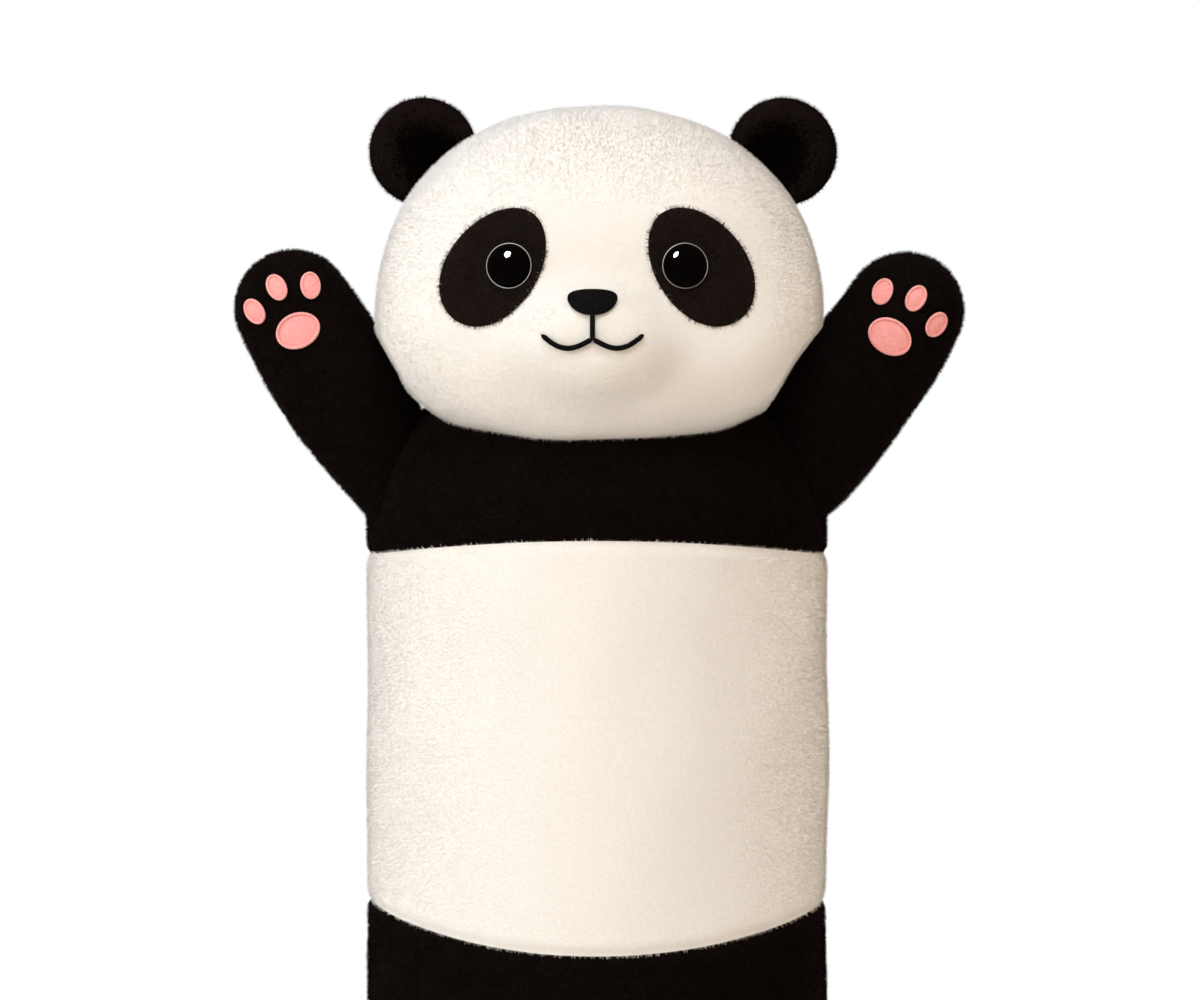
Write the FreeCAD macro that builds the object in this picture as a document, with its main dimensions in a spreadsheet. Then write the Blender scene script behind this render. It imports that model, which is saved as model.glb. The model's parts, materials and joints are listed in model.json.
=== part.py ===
"""A long stuffed panda: a straight plush tube with a bun-shaped head, raised arms and two stub feet.

Frame, in millimetres: the origin is the centre of the flat base, +Z is up and the face looks along -Y.
Left and right are the toy's own, so its left arm, ear, eye and foot are at +X.
Every piece is a plush cover panel, a stuffing core inside it, or trim sewn or snapped onto a cover.
"""

import FreeCAD
import Part
import Sketcher
import math
import os
import re
from FreeCAD import Matrix, Placement, Rotation, Vector

# Driving dimensions: alias, value, meaning.
SIZES = [
    ("cover", 3.0, "thickness of the plush fabric with its pile"),
    ("core_gap", 1.0, "room for seams between a cover and its stuffing"),
    ("thread", 0.8, "thickness of the seam thread"),
    ("raised", 1.0, "height of embroidery and pads over the cover"),
    ("swing_gap", 0.6, "clearance round a limb that swings"),
    # tube
    ("body_radius", 118.5, "outer radius of the tube"),
    ("body_top", 485.0, "height of the tube's closed top, inside the head"),
    ("shoulder_round", 60.0, "rounding of the tube's top edge"),
    ("base_round", 30.0, "rounding of the tube's bottom edge"),
    ("base_radius", 86.0, "radius of the sewn-in base disc"),
    ("chest_seam", 410.0, "height of the chest seam at the front"),
    ("chest_seam_drop", 8.0, "how far that seam falls at the sides"),
    ("hip_seam", 208.0, "height of the hip seam at the front"),
    ("hip_seam_rise", 16.5, "how far that seam rises at the sides"),
    # head
    ("head_y", -12.0, "depth of the head's axis"),
    ("head_radius", 116.0, "radius of the head seen from above"),
    ("jowl_level", 521.0, "height where the sides start to curve in below"),
    ("jowl_round", 50.0, "rounding of the sides below that level"),
    ("under_round", 253.5, "radius of the shallow underside"),
    ("brow_level", 530.5, "height where the sides start to curve in"),
    ("brow_round", 95.0, "rounding of the sides above that level"),
    ("crown_round", 135.0, "radius of the domed crown"),
    ("face_shift", -2.2, "side offset of the muzzle, nose and mouth"),
    ("muzzle_y", -98.0, "depth of the muzzle's centre"),
    ("muzzle_z", 507.0, "height of the muzzle's centre"),
    ("muzzle_radius", 40.0, "radius of the muzzle"),
    # eyes, nose and mouth
    ("patch_low_x", 54.0, "side offset of the wide end of an eye patch"),
    ("patch_low_z", 538.0, "height of the wide end"),
    ("patch_low_radius", 22.6, "radius of the wide end"),
    ("patch_high_x", 43.7, "side offset of the narrow end"),
    ("patch_high_z", 555.6, "height of the narrow end"),
    ("patch_high_radius", 16.6, "radius of the narrow end"),
    ("patch_gap", 0.2, "gap between a patch and its opening"),
    ("eye_x", 43.0, "side offset of an eye"),
    ("eye_z", 544.0, "height of an eye"),
    ("eye_radius", 12.0, "radius of a 24 mm safety eye"),
    ("eye_height", 5.5, "height of its dome"),
    ("eye_rim", 0.7, "width of the rim round it"),
    ("eye_rim_height", 0.9, "height of that rim"),
    ("post_radius", 2.4, "radius of the eye's post"),
    ("post_length", 16.0, "length of the post behind the dome"),
    ("washer_radius", 9.0, "radius of the locking washer"),
    ("washer_thickness", 1.5, "thickness of the locking washer"),
    ("nose_z", 525.0, "height of the nose's centre"),
    ("nose_width", 24.6, "width of the nose"),
    ("nose_height", 12.5, "height of the nose"),
    ("mouth_z", 506.5, "height of the middle of the mouth"),
    ("mouth_half_width", 24.0, "half of the mouth's width"),
    ("mouth_sag", 4.5, "how far each half of the mouth hangs below its middle"),
    ("mouth_line", 2.1, "width of the mouth's satin stitch"),
    # ears
    ("ear_x", 84.5, "side offset of the ear's fold line"),
    ("ear_y", 4.0, "depth of the ear's fold line"),
    ("ear_z", 602.0, "height of the ear's fold line"),
    ("ear_lean", 44.2, "angle of the ear from the vertical"),
    ("ear_radius", 27.2, "radius of the ear's disc"),
    ("ear_half_thickness", 11.0, "half of the ear's thickness"),
    ("ear_stand", 12.5, "height of the disc's centre over the fold line"),
    ("ear_range", 25.0, "how far an ear folds each way"),
    # arms
    ("arm_x", 103.0, "side offset of the shoulder"),
    ("arm_y", -24.0, "depth of the shoulder"),
    ("arm_z", 441.0, "height of the shoulder"),
    ("arm_radius", 28.0, "radius of the arm"),
    ("arm_length", 103.0, "shoulder to the centre of the arm's round tip"),
    ("left_arm_lean", 32.7, "lean of the left arm from the vertical"),
    ("right_arm_lean", 31.2, "lean of the right arm"),
    ("arm_range", 45.0, "how far an arm lowers"),
    ("palm_down", 13.7, "palm pad below the tip's centre"),
    ("palm_width", 21.6, "width of the palm pad"),
    ("palm_height", 18.6, "height of the palm pad"),
    ("finger_side", 15.0, "outer finger pads to the side"),
    ("finger_up", 4.6, "outer finger pads above the tip's centre"),
    ("finger_top", 10.0, "middle finger pad above the tip's centre"),
    ("finger_width", 9.4, "width of a finger pad"),
    ("finger_height", 13.6, "height of a finger pad"),
    ("finger_fan", 26.0, "fan angle of the outer finger pads"),
    # feet
    ("leg_x", 54.0, "side offset of the hip"),
    ("leg_y", -88.0, "depth of the hip"),
    ("leg_z", 39.5, "height of the hip"),
    ("leg_radius", 35.0, "radius of the leg"),
    ("leg_length", 72.0, "hip to the face of the sole"),
    ("leg_splay", 14.0, "angle of the leg away from straight ahead"),
    ("sole_round", 15.0, "rounding of the sole's edge"),
    ("leg_range", 20.0, "how far a leg lifts"),
    ("sole_pad_drop", 7.0, "sole pad below the leg's axis"),
    ("sole_pad_width", 30.0, "width of the sole pad"),
    ("sole_pad_height", 22.0, "height of the sole pad"),
    ("toe_side", 17.0, "outer toe pads to the side"),
    ("toe_up", 9.5, "outer toe pads above the axis"),
    ("toe_top", 16.5, "middle toe pad above the axis"),
    ("toe_width", 9.6, "width of a toe pad"),
    ("toe_height", 12.0, "height of a toe pad"),
    ("toe_fan", 28.0, "fan angle of the outer toe pads"),
    # back
    ("label_width", 30.0, "width of the sewn-in care label"),
    ("label_height", 34.0, "height of the care label"),
    ("label_z", 96.0, "height of the care label's centre"),
    ("closing_low", 130.0, "lowest closing stitch on the back seam"),
    ("closing_pitch", 9.0, "distance between closing stitches"),
    ("closing_count", 6, "number of closing stitches"),
]
FAR = 400.0  # longer than any cut needs
SIDES = (("left", 1), ("right", -1))
WORDS = {alias: f"Sizes.{alias}" for alias, _, _ in SIZES}

doc = FreeCAD.newDocument("long_panda")
sheet = doc.addObject("Spreadsheet::Sheet", "Sizes")
for row, (alias, value, meaning) in enumerate(SIZES, start=1):
    sheet.set(f"A{row}", meaning)
    sheet.set(f"B{row}", str(value))
    sheet.setAlias(f"B{row}", alias)
doc.recompute()
nodes = []


def size(alias):
    """The value of one cell of the sheet."""
    return float(sheet.get(alias))


CORE = -size("cover") - size("core_gap")  # offset of every stuffing core from the skin


def add(kind, name, **expressions):
    """A document object whose named properties are bound to expressions on the sheet."""
    made = doc.addObject(kind, name)
    for prop, expression in expressions.items():
        made.setExpression(prop, bound(expression))
    return made


def bound(text):
    """An expression in which every alias of the sheet carries the sheet's name."""
    return re.sub(r"[a-z][a-z_]+", lambda word: WORDS.get(word[0], word[0]), text)


def cylinder(name, radius, height):
    return add("Part::Cylinder", name, Radius=radius, Height=height)


def sphere(name, radius):
    return add("Part::Sphere", name, Radius=radius)


def ellipsoid(name, along_x, along_y, along_z):
    """A whole ellipsoid about its own centre."""
    made = add(
        "Part::Ellipsoid",
        name,
        Radius1=along_z,
        Radius2=along_x,
        Radius3=along_y,
    )
    made.Angle1 = -90
    made.Angle2 = 90
    return made


def box(name, low, high):
    """A plain cutting box between two corners."""
    made = doc.addObject("Part::Box", name)
    made.Length, made.Width, made.Height = (high - low).x, (high - low).y, (high - low).z
    made.Placement.Base = low
    return made


def cut(name, base, tool):
    made = doc.addObject("Part::Cut", name)
    made.Base, made.Tool = base, tool
    return made


def common(name, base, tool):
    made = doc.addObject("Part::Common", name)
    made.Base, made.Tool = base, tool
    return made


def fuse(name, *shapes):
    made = doc.addObject("Part::MultiFuse", name)
    made.Shapes = list(shapes)
    made.Refine = True
    return made


def feature(name, shape, placement=None):
    """An object with a shape of its own, placed after the shape is set."""
    made = doc.addObject("Part::Feature", name)
    made.Shape = shape
    if placement is not None:
        made.Placement = placement
    return made


def copy_at(name, source, placement):
    """A copy of an object's shape as it stands in its own frame, put somewhere else."""
    doc.recompute()
    shape = source.Shape.copy()
    shape.Placement = placement.multiply(shape.Placement)
    return feature(name, shape, shape.Placement)


def place_at(made, placement):
    """Puts an object somewhere and hands it back."""
    made.Placement = placement
    return made


def node(label, made, placement=None):
    """Marks an object as one sub-part, under the name that its file takes."""
    if placement is not None:
        made.Placement = placement
    made.Label = label
    nodes.append(made)
    return made


def disc_face(centre, half_width, half_height, turn=0.0):
    """A flat elliptical face in the XZ plane, its long half first, turned about Y by degrees."""
    long_half, short_half = max(half_width, half_height), min(half_width, half_height)
    edge = Part.Ellipse(Vector(0, 0, 0), long_half, short_half).toShape()
    flat = Part.Face(Part.Wire(edge))
    upright = 0.0 if half_width >= half_height else 90.0
    stand = Rotation(Vector(1, 0, 0), 90).multiply(Rotation(Vector(0, 0, 1), upright))
    flat.Placement = Placement(centre, Rotation(Vector(0, 1, 0), turn).multiply(stand))
    return flat


def prism(faces, depth=FAR):
    """Faces in the XZ plane pushed forward, along -Y, as one tool."""
    solids = [face.extrude(Vector(0, -depth, 0)) for face in faces]
    return solids[0].multiFuse(solids[1:]) if len(solids) > 1 else solids[0]


# ---------------------------------------------------------------- tube


def torso_column(name, offset):
    """The tube as a rounded column, offset outward by millimetres: a padded circle with two fillets."""
    body = doc.addObject("PartDesign::Body", name)
    plane = next(f for f in body.Origin.OriginFeatures if f.Role == "XY_Plane")
    sketch = body.newObject("Sketcher::SketchObject", f"{name}_circle")
    sketch.AttachmentSupport = [(plane, "")]
    sketch.MapMode = "FlatFace"
    circle = sketch.addGeometry(Part.Circle(Vector(0, 0, 0), Vector(0, 0, 1), size("body_radius")))
    sketch.addConstraint(Sketcher.Constraint("Coincident", circle, 3, -1, 1))
    sketch.addConstraint(Sketcher.Constraint("Radius", circle, size("body_radius")))
    sketch.setExpression("Constraints[1]", bound(f"body_radius + {offset}"))
    pad = body.newObject("PartDesign::Pad", f"{name}_pad")
    pad.Profile = sketch
    pad.setExpression("Length", bound(f"body_top + 2 * {offset}"))
    body.Placement.Base.z = -offset
    doc.recompute()
    base = pad
    for place, radius in (("top", "shoulder_round"), ("bottom", "base_round")):
        level = 0.0 if place == "bottom" else base.Shape.BoundBox.ZMax
        rims = [
            f"Edge{i}"
            for i, edge in enumerate(base.Shape.Edges, start=1)
            if edge.BoundBox.ZLength < 1e-6 and abs(edge.BoundBox.ZMin - level) < 1e-3
        ]
        rounding = body.newObject("PartDesign::Fillet", f"{name}_{place}")
        rounding.Base = (base, rims)
        rounding.setExpression("Radius", bound(f"{radius} + {offset}"))
        doc.recompute()
        base = rounding
    return body


def seam_drum(name, front_level, change, way, offset=0.0):
    """A drum along Y whose rim is a seam's arc: its front level, its change at the sides and its bulge."""
    radius = f"(body_radius ^ 2 + {change} ^ 2) / (2 * {change})"
    made = cylinder(name, f"{radius} + {offset}", "body_radius * 4")
    made.Placement.Rotation = Rotation(Vector(1, 0, 0), -90)
    made.setExpression("Placement.Base.y", bound("-body_radius * 2"))
    made.setExpression("Placement.Base.z", bound(f"{front_level} - ({way}) * {radius}"))
    return made


# ---------------------------------------------------------------- head


def bun(offset):
    """The head without its muzzle: tangent arcs and a short straight side, spun about a vertical axis."""
    radius = size("head_radius") + offset

    def half(level, round_name, cap_name, way):
        """The three points of a side arc and of the cap arc that closes it on the axis, above or below."""
        edge, cap = size(round_name) + offset, size(cap_name) + offset
        inset = radius - edge
        centre = level - way * math.sqrt((cap - edge) ** 2 - inset**2)
        lean = math.atan2(abs(level - centre), inset)
        side_arc = [
            Vector(inset + edge * math.cos(lean * i / 2), 0, level + way * edge * math.sin(lean * i / 2))
            for i in range(3)
        ]
        turns = [lean + (math.pi / 2 - lean) * i / 2 for i in range(3)]
        return side_arc, [Vector(cap * math.cos(t), 0, centre + way * cap * math.sin(t)) for t in turns]

    brow_arc, crown_arc = half(size("brow_level"), "brow_round", "crown_round", 1)
    jowl_arc, under_arc = half(size("jowl_level"), "jowl_round", "under_round", -1)
    edges = [
        Part.Arc(*under_arc[::-1]).toShape(),
        Part.Arc(*jowl_arc[::-1]).toShape(),
        Part.LineSegment(jowl_arc[0], brow_arc[0]).toShape(),
        Part.Arc(*brow_arc).toShape(),
        Part.Arc(*crown_arc).toShape(),
        Part.LineSegment(crown_arc[2], under_arc[2]).toShape(),
    ]
    solid = Part.Face(Part.Wire(edges)).revolve(Vector(0, 0, 0), Vector(0, 0, 1), 360)
    solid.translate(Vector(0, size("head_y"), 0))
    return solid


def head_form(name, offset):
    """The whole head offset outward by a number of millimetres: bun and muzzle."""
    muzzle = sphere(f"{name}_muzzle", f"muzzle_radius + {offset}")
    muzzle.Placement.Base = Vector(size("face_shift"), size("muzzle_y"), size("muzzle_z"))
    made = doc.addObject("Part::MultiFuse", name)
    made.Shapes = [feature(f"{name}_bun", bun(offset)), muzzle]
    return made


def face_point(x, z):
    """The point on the bun's front at a side offset and height, and the outward normal there."""
    brow = size("brow_round")
    inset = size("head_radius") - brow
    rise = max(z - size("brow_level"), 0.0)
    reach = math.sqrt(brow**2 - rise**2)
    radius = inset + reach
    depth = math.sqrt(radius**2 - x**2)
    normal = Vector(x / radius * reach, -depth / radius * reach, rise)
    return Vector(x, size("head_y") - depth, z), normal.normalize()


def egg_face(side, grow):
    """The outline of an eye patch: two arcs, a wide one low and outside, joined by two tangents."""
    low = Vector(side * size("patch_low_x"), 0, size("patch_low_z"))
    high = Vector(side * size("patch_high_x"), 0, size("patch_high_z"))
    low_radius = size("patch_low_radius") + grow
    high_radius = size("patch_high_radius") + grow
    along = high - low
    lean = math.degrees(math.acos((low_radius - high_radius) / along.Length))
    along.normalize()

    def turned(angle):
        return Rotation(Vector(0, 1, 0), angle).multVec(along)

    low_ends = [low + turned(sign * lean) * low_radius for sign in (1, -1)]
    high_ends = [high + turned(sign * lean) * high_radius for sign in (1, -1)]
    edges = [
        Part.Arc(low_ends[0], low - along * low_radius, low_ends[1]).toShape(),
        Part.LineSegment(low_ends[1], high_ends[1]).toShape(),
        Part.Arc(high_ends[1], high + along * high_radius, high_ends[0]).toShape(),
        Part.LineSegment(high_ends[0], low_ends[0]).toShape(),
    ]
    return Part.Face(Part.Wire(edges))


def nose_face():
    """The nose: a flat top with round shoulders that runs down to a soft point."""
    half, tall, z = size("nose_width") / 2, size("nose_height"), size("nose_z")
    top, tip = z + tall / 2, z - tall / 2
    corner = half * 0.55
    curve = Part.BSplineCurve()
    right = [(corner, top), (half, z + tall * 0.12), (half * 0.62, z - tall * 0.3)]
    points = [Vector(x, 0, y) for x, y in [*right, (0, tip), *[(-x, y) for x, y in right[::-1]]]]
    curve.interpolate(Points=points)
    lid = Part.Arc(points[-1], Vector(0, 0, top + tall * 0.04), points[0]).toShape()
    return shifted_face(Part.Face(Part.Wire([curve.toShape(), lid])))


def shifted_face(face):
    """A flat outline moved sideways to the middle of the face."""
    face.translate(Vector(size("face_shift"), 0, 0))
    return face


def stroke_face(start, middle, end, width):
    """A band of even width with round ends along the arc through three points of the XZ plane."""
    arc = Part.Arc(start, middle, end)
    centre = arc.toShape().Curve.Center

    def shifted(point, by):
        out = (point - centre).normalize()
        return point + out * by

    half = width / 2
    run = (end - start).normalize()
    edges = [
        Part.Arc(shifted(start, half), shifted(middle, half), shifted(end, half)).toShape(),
        Part.Arc(shifted(end, half), end + run * half, shifted(end, -half)).toShape(),
        Part.Arc(shifted(end, -half), shifted(middle, -half), shifted(start, -half)).toShape(),
        Part.Arc(shifted(start, -half), start - run * half, shifted(start, half)).toShape(),
    ]
    return Part.Face(Part.Wire(edges))


def mouth_faces():
    """Two hanging arcs that meet under the nose, and the short line up to it."""
    z, half, sag = size("mouth_z"), size("mouth_half_width"), size("mouth_sag")
    line = size("mouth_line")
    curves = [
        stroke_face(
            Vector(0, 0, z),
            Vector(side * half * 0.54, 0, z - sag),
            Vector(side * half, 0, z + sag * 0.6),
            line,
        )
        for _, side in SIDES
    ]
    nose_tip = size("nose_z") - size("nose_height") / 2
    post = Part.makePlane(line, nose_tip - z, Vector(-line / 2, 0, z), Vector(0, -1, 0), Vector(1, 0, 0))
    return [shifted_face(face) for face in (*curves, post)]


# ---------------------------------------------------------------- ears, arms and feet


def ear_lens(name, shrink):
    """An ear's puffy disc with a dished front, standing on its fold line along X, shrunk by millimetres."""
    disc = ellipsoid(
        f"{name}_disc",
        f"ear_radius - {shrink}",
        f"ear_half_thickness - {shrink}",
        f"ear_radius - {shrink}",
    )
    disc.setExpression("Placement.Base.z", bound("ear_stand"))
    dish = ellipsoid(
        f"{name}_dish",
        f"ear_radius * 0.55 + {shrink}",
        f"ear_half_thickness * 0.8 + {shrink}",
        f"ear_radius * 0.6 + {shrink}",
    )
    dish.setExpression("Placement.Base.y", bound("-ear_half_thickness * 1.35"))
    dish.setExpression("Placement.Base.z", bound("ear_stand * 0.8"))
    above = box(f"{name}_above", Vector(-FAR, -FAR, 0), Vector(FAR, FAR, FAR))
    root = cylinder(f"{name}_root", f"ear_half_thickness * 0.8 - {shrink}", "ear_radius * 4")
    root.Placement = Placement(Vector(-2 * size("ear_radius"), 0, 0), Rotation(Vector(0, 1, 0), 90))
    reach = fuse(f"{name}_reach", above, root)
    return cut(name, common(f"{name}_kept", disc, reach), dish)


def ear_frame(side):
    """Carries an ear from its own frame to the head: the fold line along the head's slope."""
    lean = Rotation(Vector(0, 1, 0), side * size("ear_lean"))
    return Placement(Vector(side * size("ear_x"), size("ear_y"), size("ear_z")), lean)


def capsule(name, offset):
    """An arm's form, standing on its shoulder centre along +Z, offset outward by millimetres."""
    root = sphere(f"{name}_root", f"arm_radius + {offset}")
    tube = cylinder(f"{name}_tube", f"arm_radius + {offset}", "arm_length")
    tip = sphere(f"{name}_tip", f"arm_radius + {offset}")
    tip.setExpression("Placement.Base.z", bound("arm_length"))
    return fuse(name, root, tube, tip)


def arm_frame(side_name, side, lowered=0.0):
    """Carries an arm from its own frame to the shoulder, lowered by some degrees."""
    lean = side * (size(f"{side_name}_arm_lean") + lowered)
    shoulder = Vector(side * size("arm_x"), size("arm_y"), size("arm_z"))
    return Placement(shoulder, Rotation(Vector(0, 1, 0), lean))


def stub(name, offset):
    """A leg's form: a round root at the hip and a tube along +Z that ends in a soft-edged sole."""
    root = sphere(f"{name}_root", f"leg_radius + {offset}")
    tube = cylinder(f"{name}_tube", f"leg_radius + {offset}", f"leg_length + {offset}")
    rounded = doc.addObject("Part::Fillet", f"{name}_rounded")
    rounded.Base = tube
    doc.recompute()
    radius = size("sole_round") + offset
    rounded.Edges = [
        (i, radius, radius)
        for i, edge in enumerate(tube.Shape.Edges, start=1)
        if edge.BoundBox.ZLength < 1e-6 and edge.BoundBox.ZMin > 1
    ]
    return fuse(name, root, rounded)


def leg_frame(side, lifted=0.0):
    """Carries a leg from its own frame, sole along +Z and toes along +Y, to the hip."""
    forward = Rotation(Vector(1, 0, 0), 90 - lifted)
    splay = Rotation(Vector(0, 0, 1), side * size("leg_splay"))
    hip = Vector(side * size("leg_x"), size("leg_y"), size("leg_z"))
    return Placement(hip, splay.multiply(forward))


# ---------------------------------------------------------------- build


def limb_rooms():
    """The room that the swinging arms and legs need in the tube, as a list of tools."""
    gap = size("swing_gap")
    rooms = []
    for side_name, side in SIDES:
        shoulder = sphere(f"{side_name}_shoulder_room", f"arm_radius + {2.5 * gap}")
        rooms.append(place_at(shoulder, arm_frame(side_name, side)))
        hip = sphere(f"{side_name}_hip_room", f"leg_radius + {2 * gap}")
        rooms.append(place_at(hip, leg_frame(side)))
        for step in range(2):
            arm = cylinder(f"{side_name}_arm_room_{step}", f"arm_radius + {gap}", "arm_length")
            rooms.append(place_at(arm, arm_frame(side_name, side, step * size("arm_range"))))
            leg = cylinder(f"{side_name}_leg_room_{step}", f"leg_radius + {gap}", "leg_length")
            rooms.append(place_at(leg, leg_frame(side, step * size("leg_range"))))
    return rooms


def build_tube(head_room):
    """Chest, belly and hip panels, base disc, stuffing and the threads that join them."""
    outer = torso_column("tube_outer", 0.0)
    inner = torso_column("tube_inner", -size("cover"))
    core = torso_column("tube_core", CORE)
    rooms = fuse("limb_rooms", *limb_rooms())
    rooms.Refine = False
    removed = fuse("tube_removed", head_room, rooms)
    removed.Refine = False
    cover = cut("tube_cover", cut("tube_wall", outer, inner), removed)

    seams = {"chest": ("chest_seam", "chest_seam_drop", 1), "hip": ("hip_seam", "hip_seam_rise", -1)}
    chest_drum = seam_drum("chest_drum", *seams["chest"])
    hip_drum = seam_drum("hip_drum", *seams["hip"])
    middle = (size("chest_seam") + size("hip_seam")) / 2
    upper = box("upper_half", Vector(-FAR, -FAR, middle), Vector(FAR, FAR, middle + FAR))
    lower = box("lower_half", Vector(-FAR, -FAR, middle - FAR), Vector(FAR, FAR, middle))
    base_hole = cylinder("base_hole", "base_radius + patch_gap", "cover")
    base_disc = cylinder("base_disc", "base_radius", "cover")

    node("chest_panel", cut("chest", common("chest_half", cover, upper), chest_drum))
    node("belly_panel", common("belly", common("belly_low", cover, hip_drum), chest_drum))
    hip = cut("hip", common("hip_half", cover, lower), hip_drum)
    node("hip_panel", cut("hip_ring", hip, base_hole))
    node("base_panel", common("base", cover, base_disc))
    node("torso_stuffing", cut("tube_stuffing", core, removed))

    lining = cut(
        "thread_wall",
        torso_column("thread_outer", -size("cover") - 0.05),
        torso_column("thread_inner", -size("cover") - size("thread")),
    )
    lining = cut("thread_lining", lining, removed)
    for name, seam in seams.items():
        wide = seam_drum(f"{name}_drum_wide", *seam, size("thread") / 2)
        tight = seam_drum(f"{name}_drum_tight", *seam, -size("thread") / 2)
        ring = common(f"{name}_thread", lining, cut(f"{name}_gap", wide, tight))
        node(f"{name}_seam_thread", ring)


def build_back():
    """The closing stitches across the back seam and the blank care label sewn into it."""
    back = size("body_radius")
    stitches = []
    for i in range(int(size("closing_count"))):
        height = size("closing_low") + i * size("closing_pitch")
        stitch = Part.makeCylinder(size("thread") / 2, 6, Vector(-3, 0, 0), Vector(1, 0, 0))
        stitch.translate(Vector(0, back + size("thread") * 0.6, height))
        stitches.append(stitch)
    node("closing_stitches", feature("closing", Part.makeCompound(stitches)))

    body = doc.addObject("PartDesign::Body", "label_body")
    plane = next(f for f in body.Origin.OriginFeatures if f.Role == "XZ_Plane")
    sketch = body.newObject("Sketcher::SketchObject", "label_outline")
    sketch.AttachmentSupport = [(plane, "")]
    sketch.MapMode = "FlatFace"
    wide, tall = size("label_width"), size("label_height")
    corners = [Vector(x, y, 0) for x, y in ((0, 0), (wide, 0), (wide, tall), (0, tall))]
    for start, end in zip(corners, corners[1:] + corners[:1]):
        sketch.addGeometry(Part.LineSegment(start, end))
    for i in range(4):
        sketch.addConstraint(Sketcher.Constraint("Coincident", i, 2, (i + 1) % 4, 1))
    for i, kind in enumerate(("Horizontal", "Vertical", "Horizontal", "Vertical")):
        sketch.addConstraint(Sketcher.Constraint(kind, i))
    sketch.addConstraint(Sketcher.Constraint("Coincident", 0, 1, -1, 1))
    across = sketch.addConstraint(Sketcher.Constraint("DistanceX", 0, 1, 0, 2, wide))
    up = sketch.addConstraint(Sketcher.Constraint("DistanceY", 1, 1, 1, 2, tall))
    sketch.setExpression(f"Constraints[{across}]", bound("label_width"))
    sketch.setExpression(f"Constraints[{up}]", bound("label_height"))
    pad = body.newObject("PartDesign::Pad", "label_pad")
    pad.Profile = sketch
    pad.setExpression("Length", bound("thread"))
    foot = Vector(1, back + 1.5, size("label_z") - tall / 2)
    node("care_label", body, Placement(foot, Rotation()))


def build_head():
    """Front and back panels, stuffing, eyes, nose and mouth. Returns the room left for the head."""
    arms = [
        place_at(capsule(f"{side_name}_cheek_room", size("swing_gap")), arm_frame(side_name, side))
        for side_name, side in SIDES
    ]
    folds = []
    for side_name, side in SIDES:
        fold = cylinder(f"{side_name}_fold", "ear_half_thickness * 0.8 + swing_gap", "ear_radius * 2")
        along = Placement(Vector(-size("ear_radius"), 0, 0), Rotation(Vector(0, 1, 0), 90))
        fold.Placement = ear_frame(side).multiply(along)
        folds.append(fold)
    dents = fuse("head_dents", *arms, *folds)
    dents.Refine = False
    cut("ear_relief_head", head_form("ear_relief_form", 0.4), fuse("ear_folds", *folds))
    outer = cut("head_outer", head_form("head_skin", 0.0), dents)
    inner = head_form("head_inner", -size("cover"))
    wall = cut("head_wall", outer, inner)
    split = size("head_y")
    front = box("head_front", Vector(-FAR, split - FAR, 0), Vector(FAR, split, 3 * FAR))
    back = box("head_back", Vector(-FAR, split, 0), Vector(FAR, split + FAR, 3 * FAR))
    front_wall = common("head_front_wall", wall, front)
    openings = feature("patch_openings", prism([egg_face(side, 0) for _, side in SIDES]))
    node("head_front_panel", cut("head_front_open", front_wall, openings))
    node("head_back_panel", common("head_back_wall", wall, back))

    eye_rooms = []
    for side_name, side in SIDES:
        eye_rooms += build_eye(side_name, side, front_wall)
    core = cut("head_core_open", head_form("head_core", CORE), dents)
    node("head_stuffing", cut("head_core_ready", core, fuse("eye_rooms", *eye_rooms)))

    over = cut("trim_wall", head_form("trim_far", size("raised")), head_form("trim_near", 0.05))
    nose = common("nose_trim", over, feature("nose_prism", prism([nose_face()])))
    mouth = feature("mouth_prism", prism(mouth_faces()))
    node("nose", nose)
    stitches = common("mouth_all", over, mouth)
    nose_room = feature("nose_room", prism([nose_face()]))
    node("mouth_stitching", cut("mouth_trim", stitches, nose_room))
    return head_form("head_room", 1.2)


def build_eye(side_name, side, front_wall):
    """One eye patch with its safety eye, rim and washer. Returns the room the stuffing leaves for them."""
    point, normal = face_point(side * size("eye_x"), size("eye_z"))
    place = Placement(point + normal * 0.1, Rotation(Vector(0, 0, 1), normal))
    post_room = cylinder(f"{side_name}_post_room", "post_radius + swing_gap / 2", "post_length * 2")
    back_off = Placement(Vector(0, 0, -2 * size("post_length") + 1), Rotation())
    post_room.Placement = place.multiply(back_off)
    patch_shape = feature(f"{side_name}_patch_prism", prism([egg_face(side, -size("patch_gap"))]))
    patch = common(f"{side_name}_patch_whole", front_wall, patch_shape)
    node(f"{side_name}_eye_patch", cut(f"{side_name}_patch", patch, post_room))

    dome = ellipsoid(f"{side_name}_dome_whole", "eye_radius", "eye_radius", "eye_height")
    dome.Angle1 = 0
    post = cylinder(f"{side_name}_post", "post_radius", "post_length")
    post.setExpression("Placement.Base.z", bound("-post_length"))
    node(f"{side_name}_eye", fuse(f"{side_name}_eye_solid", dome, post), place)

    ring = cylinder(f"{side_name}_ring", "eye_radius + eye_rim", "eye_rim_height")
    hole = cylinder(f"{side_name}_ring_hole", "eye_radius + 0.05", "eye_rim_height")
    node(f"{side_name}_eye_rim", cut(f"{side_name}_rim", ring, hole), place)

    washer = cylinder(f"{side_name}_washer_disc", "washer_radius", "washer_thickness")
    bore = cylinder(f"{side_name}_washer_bore", "post_radius + 0.05", "washer_thickness")
    washer_place = place.multiply(Placement(Vector(0, 0, -size("post_length") + 5), Rotation()))
    node(f"{side_name}_eye_washer", cut(f"{side_name}_washer", washer, bore), washer_place)
    washer_room = cylinder(f"{side_name}_washer_room", "washer_radius + 0.3", "washer_thickness + 0.6")
    lower = Placement(Vector(0, 0, -0.3), Rotation())
    washer_room.Placement = washer_place.multiply(lower)
    return [post_room, washer_room]


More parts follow.
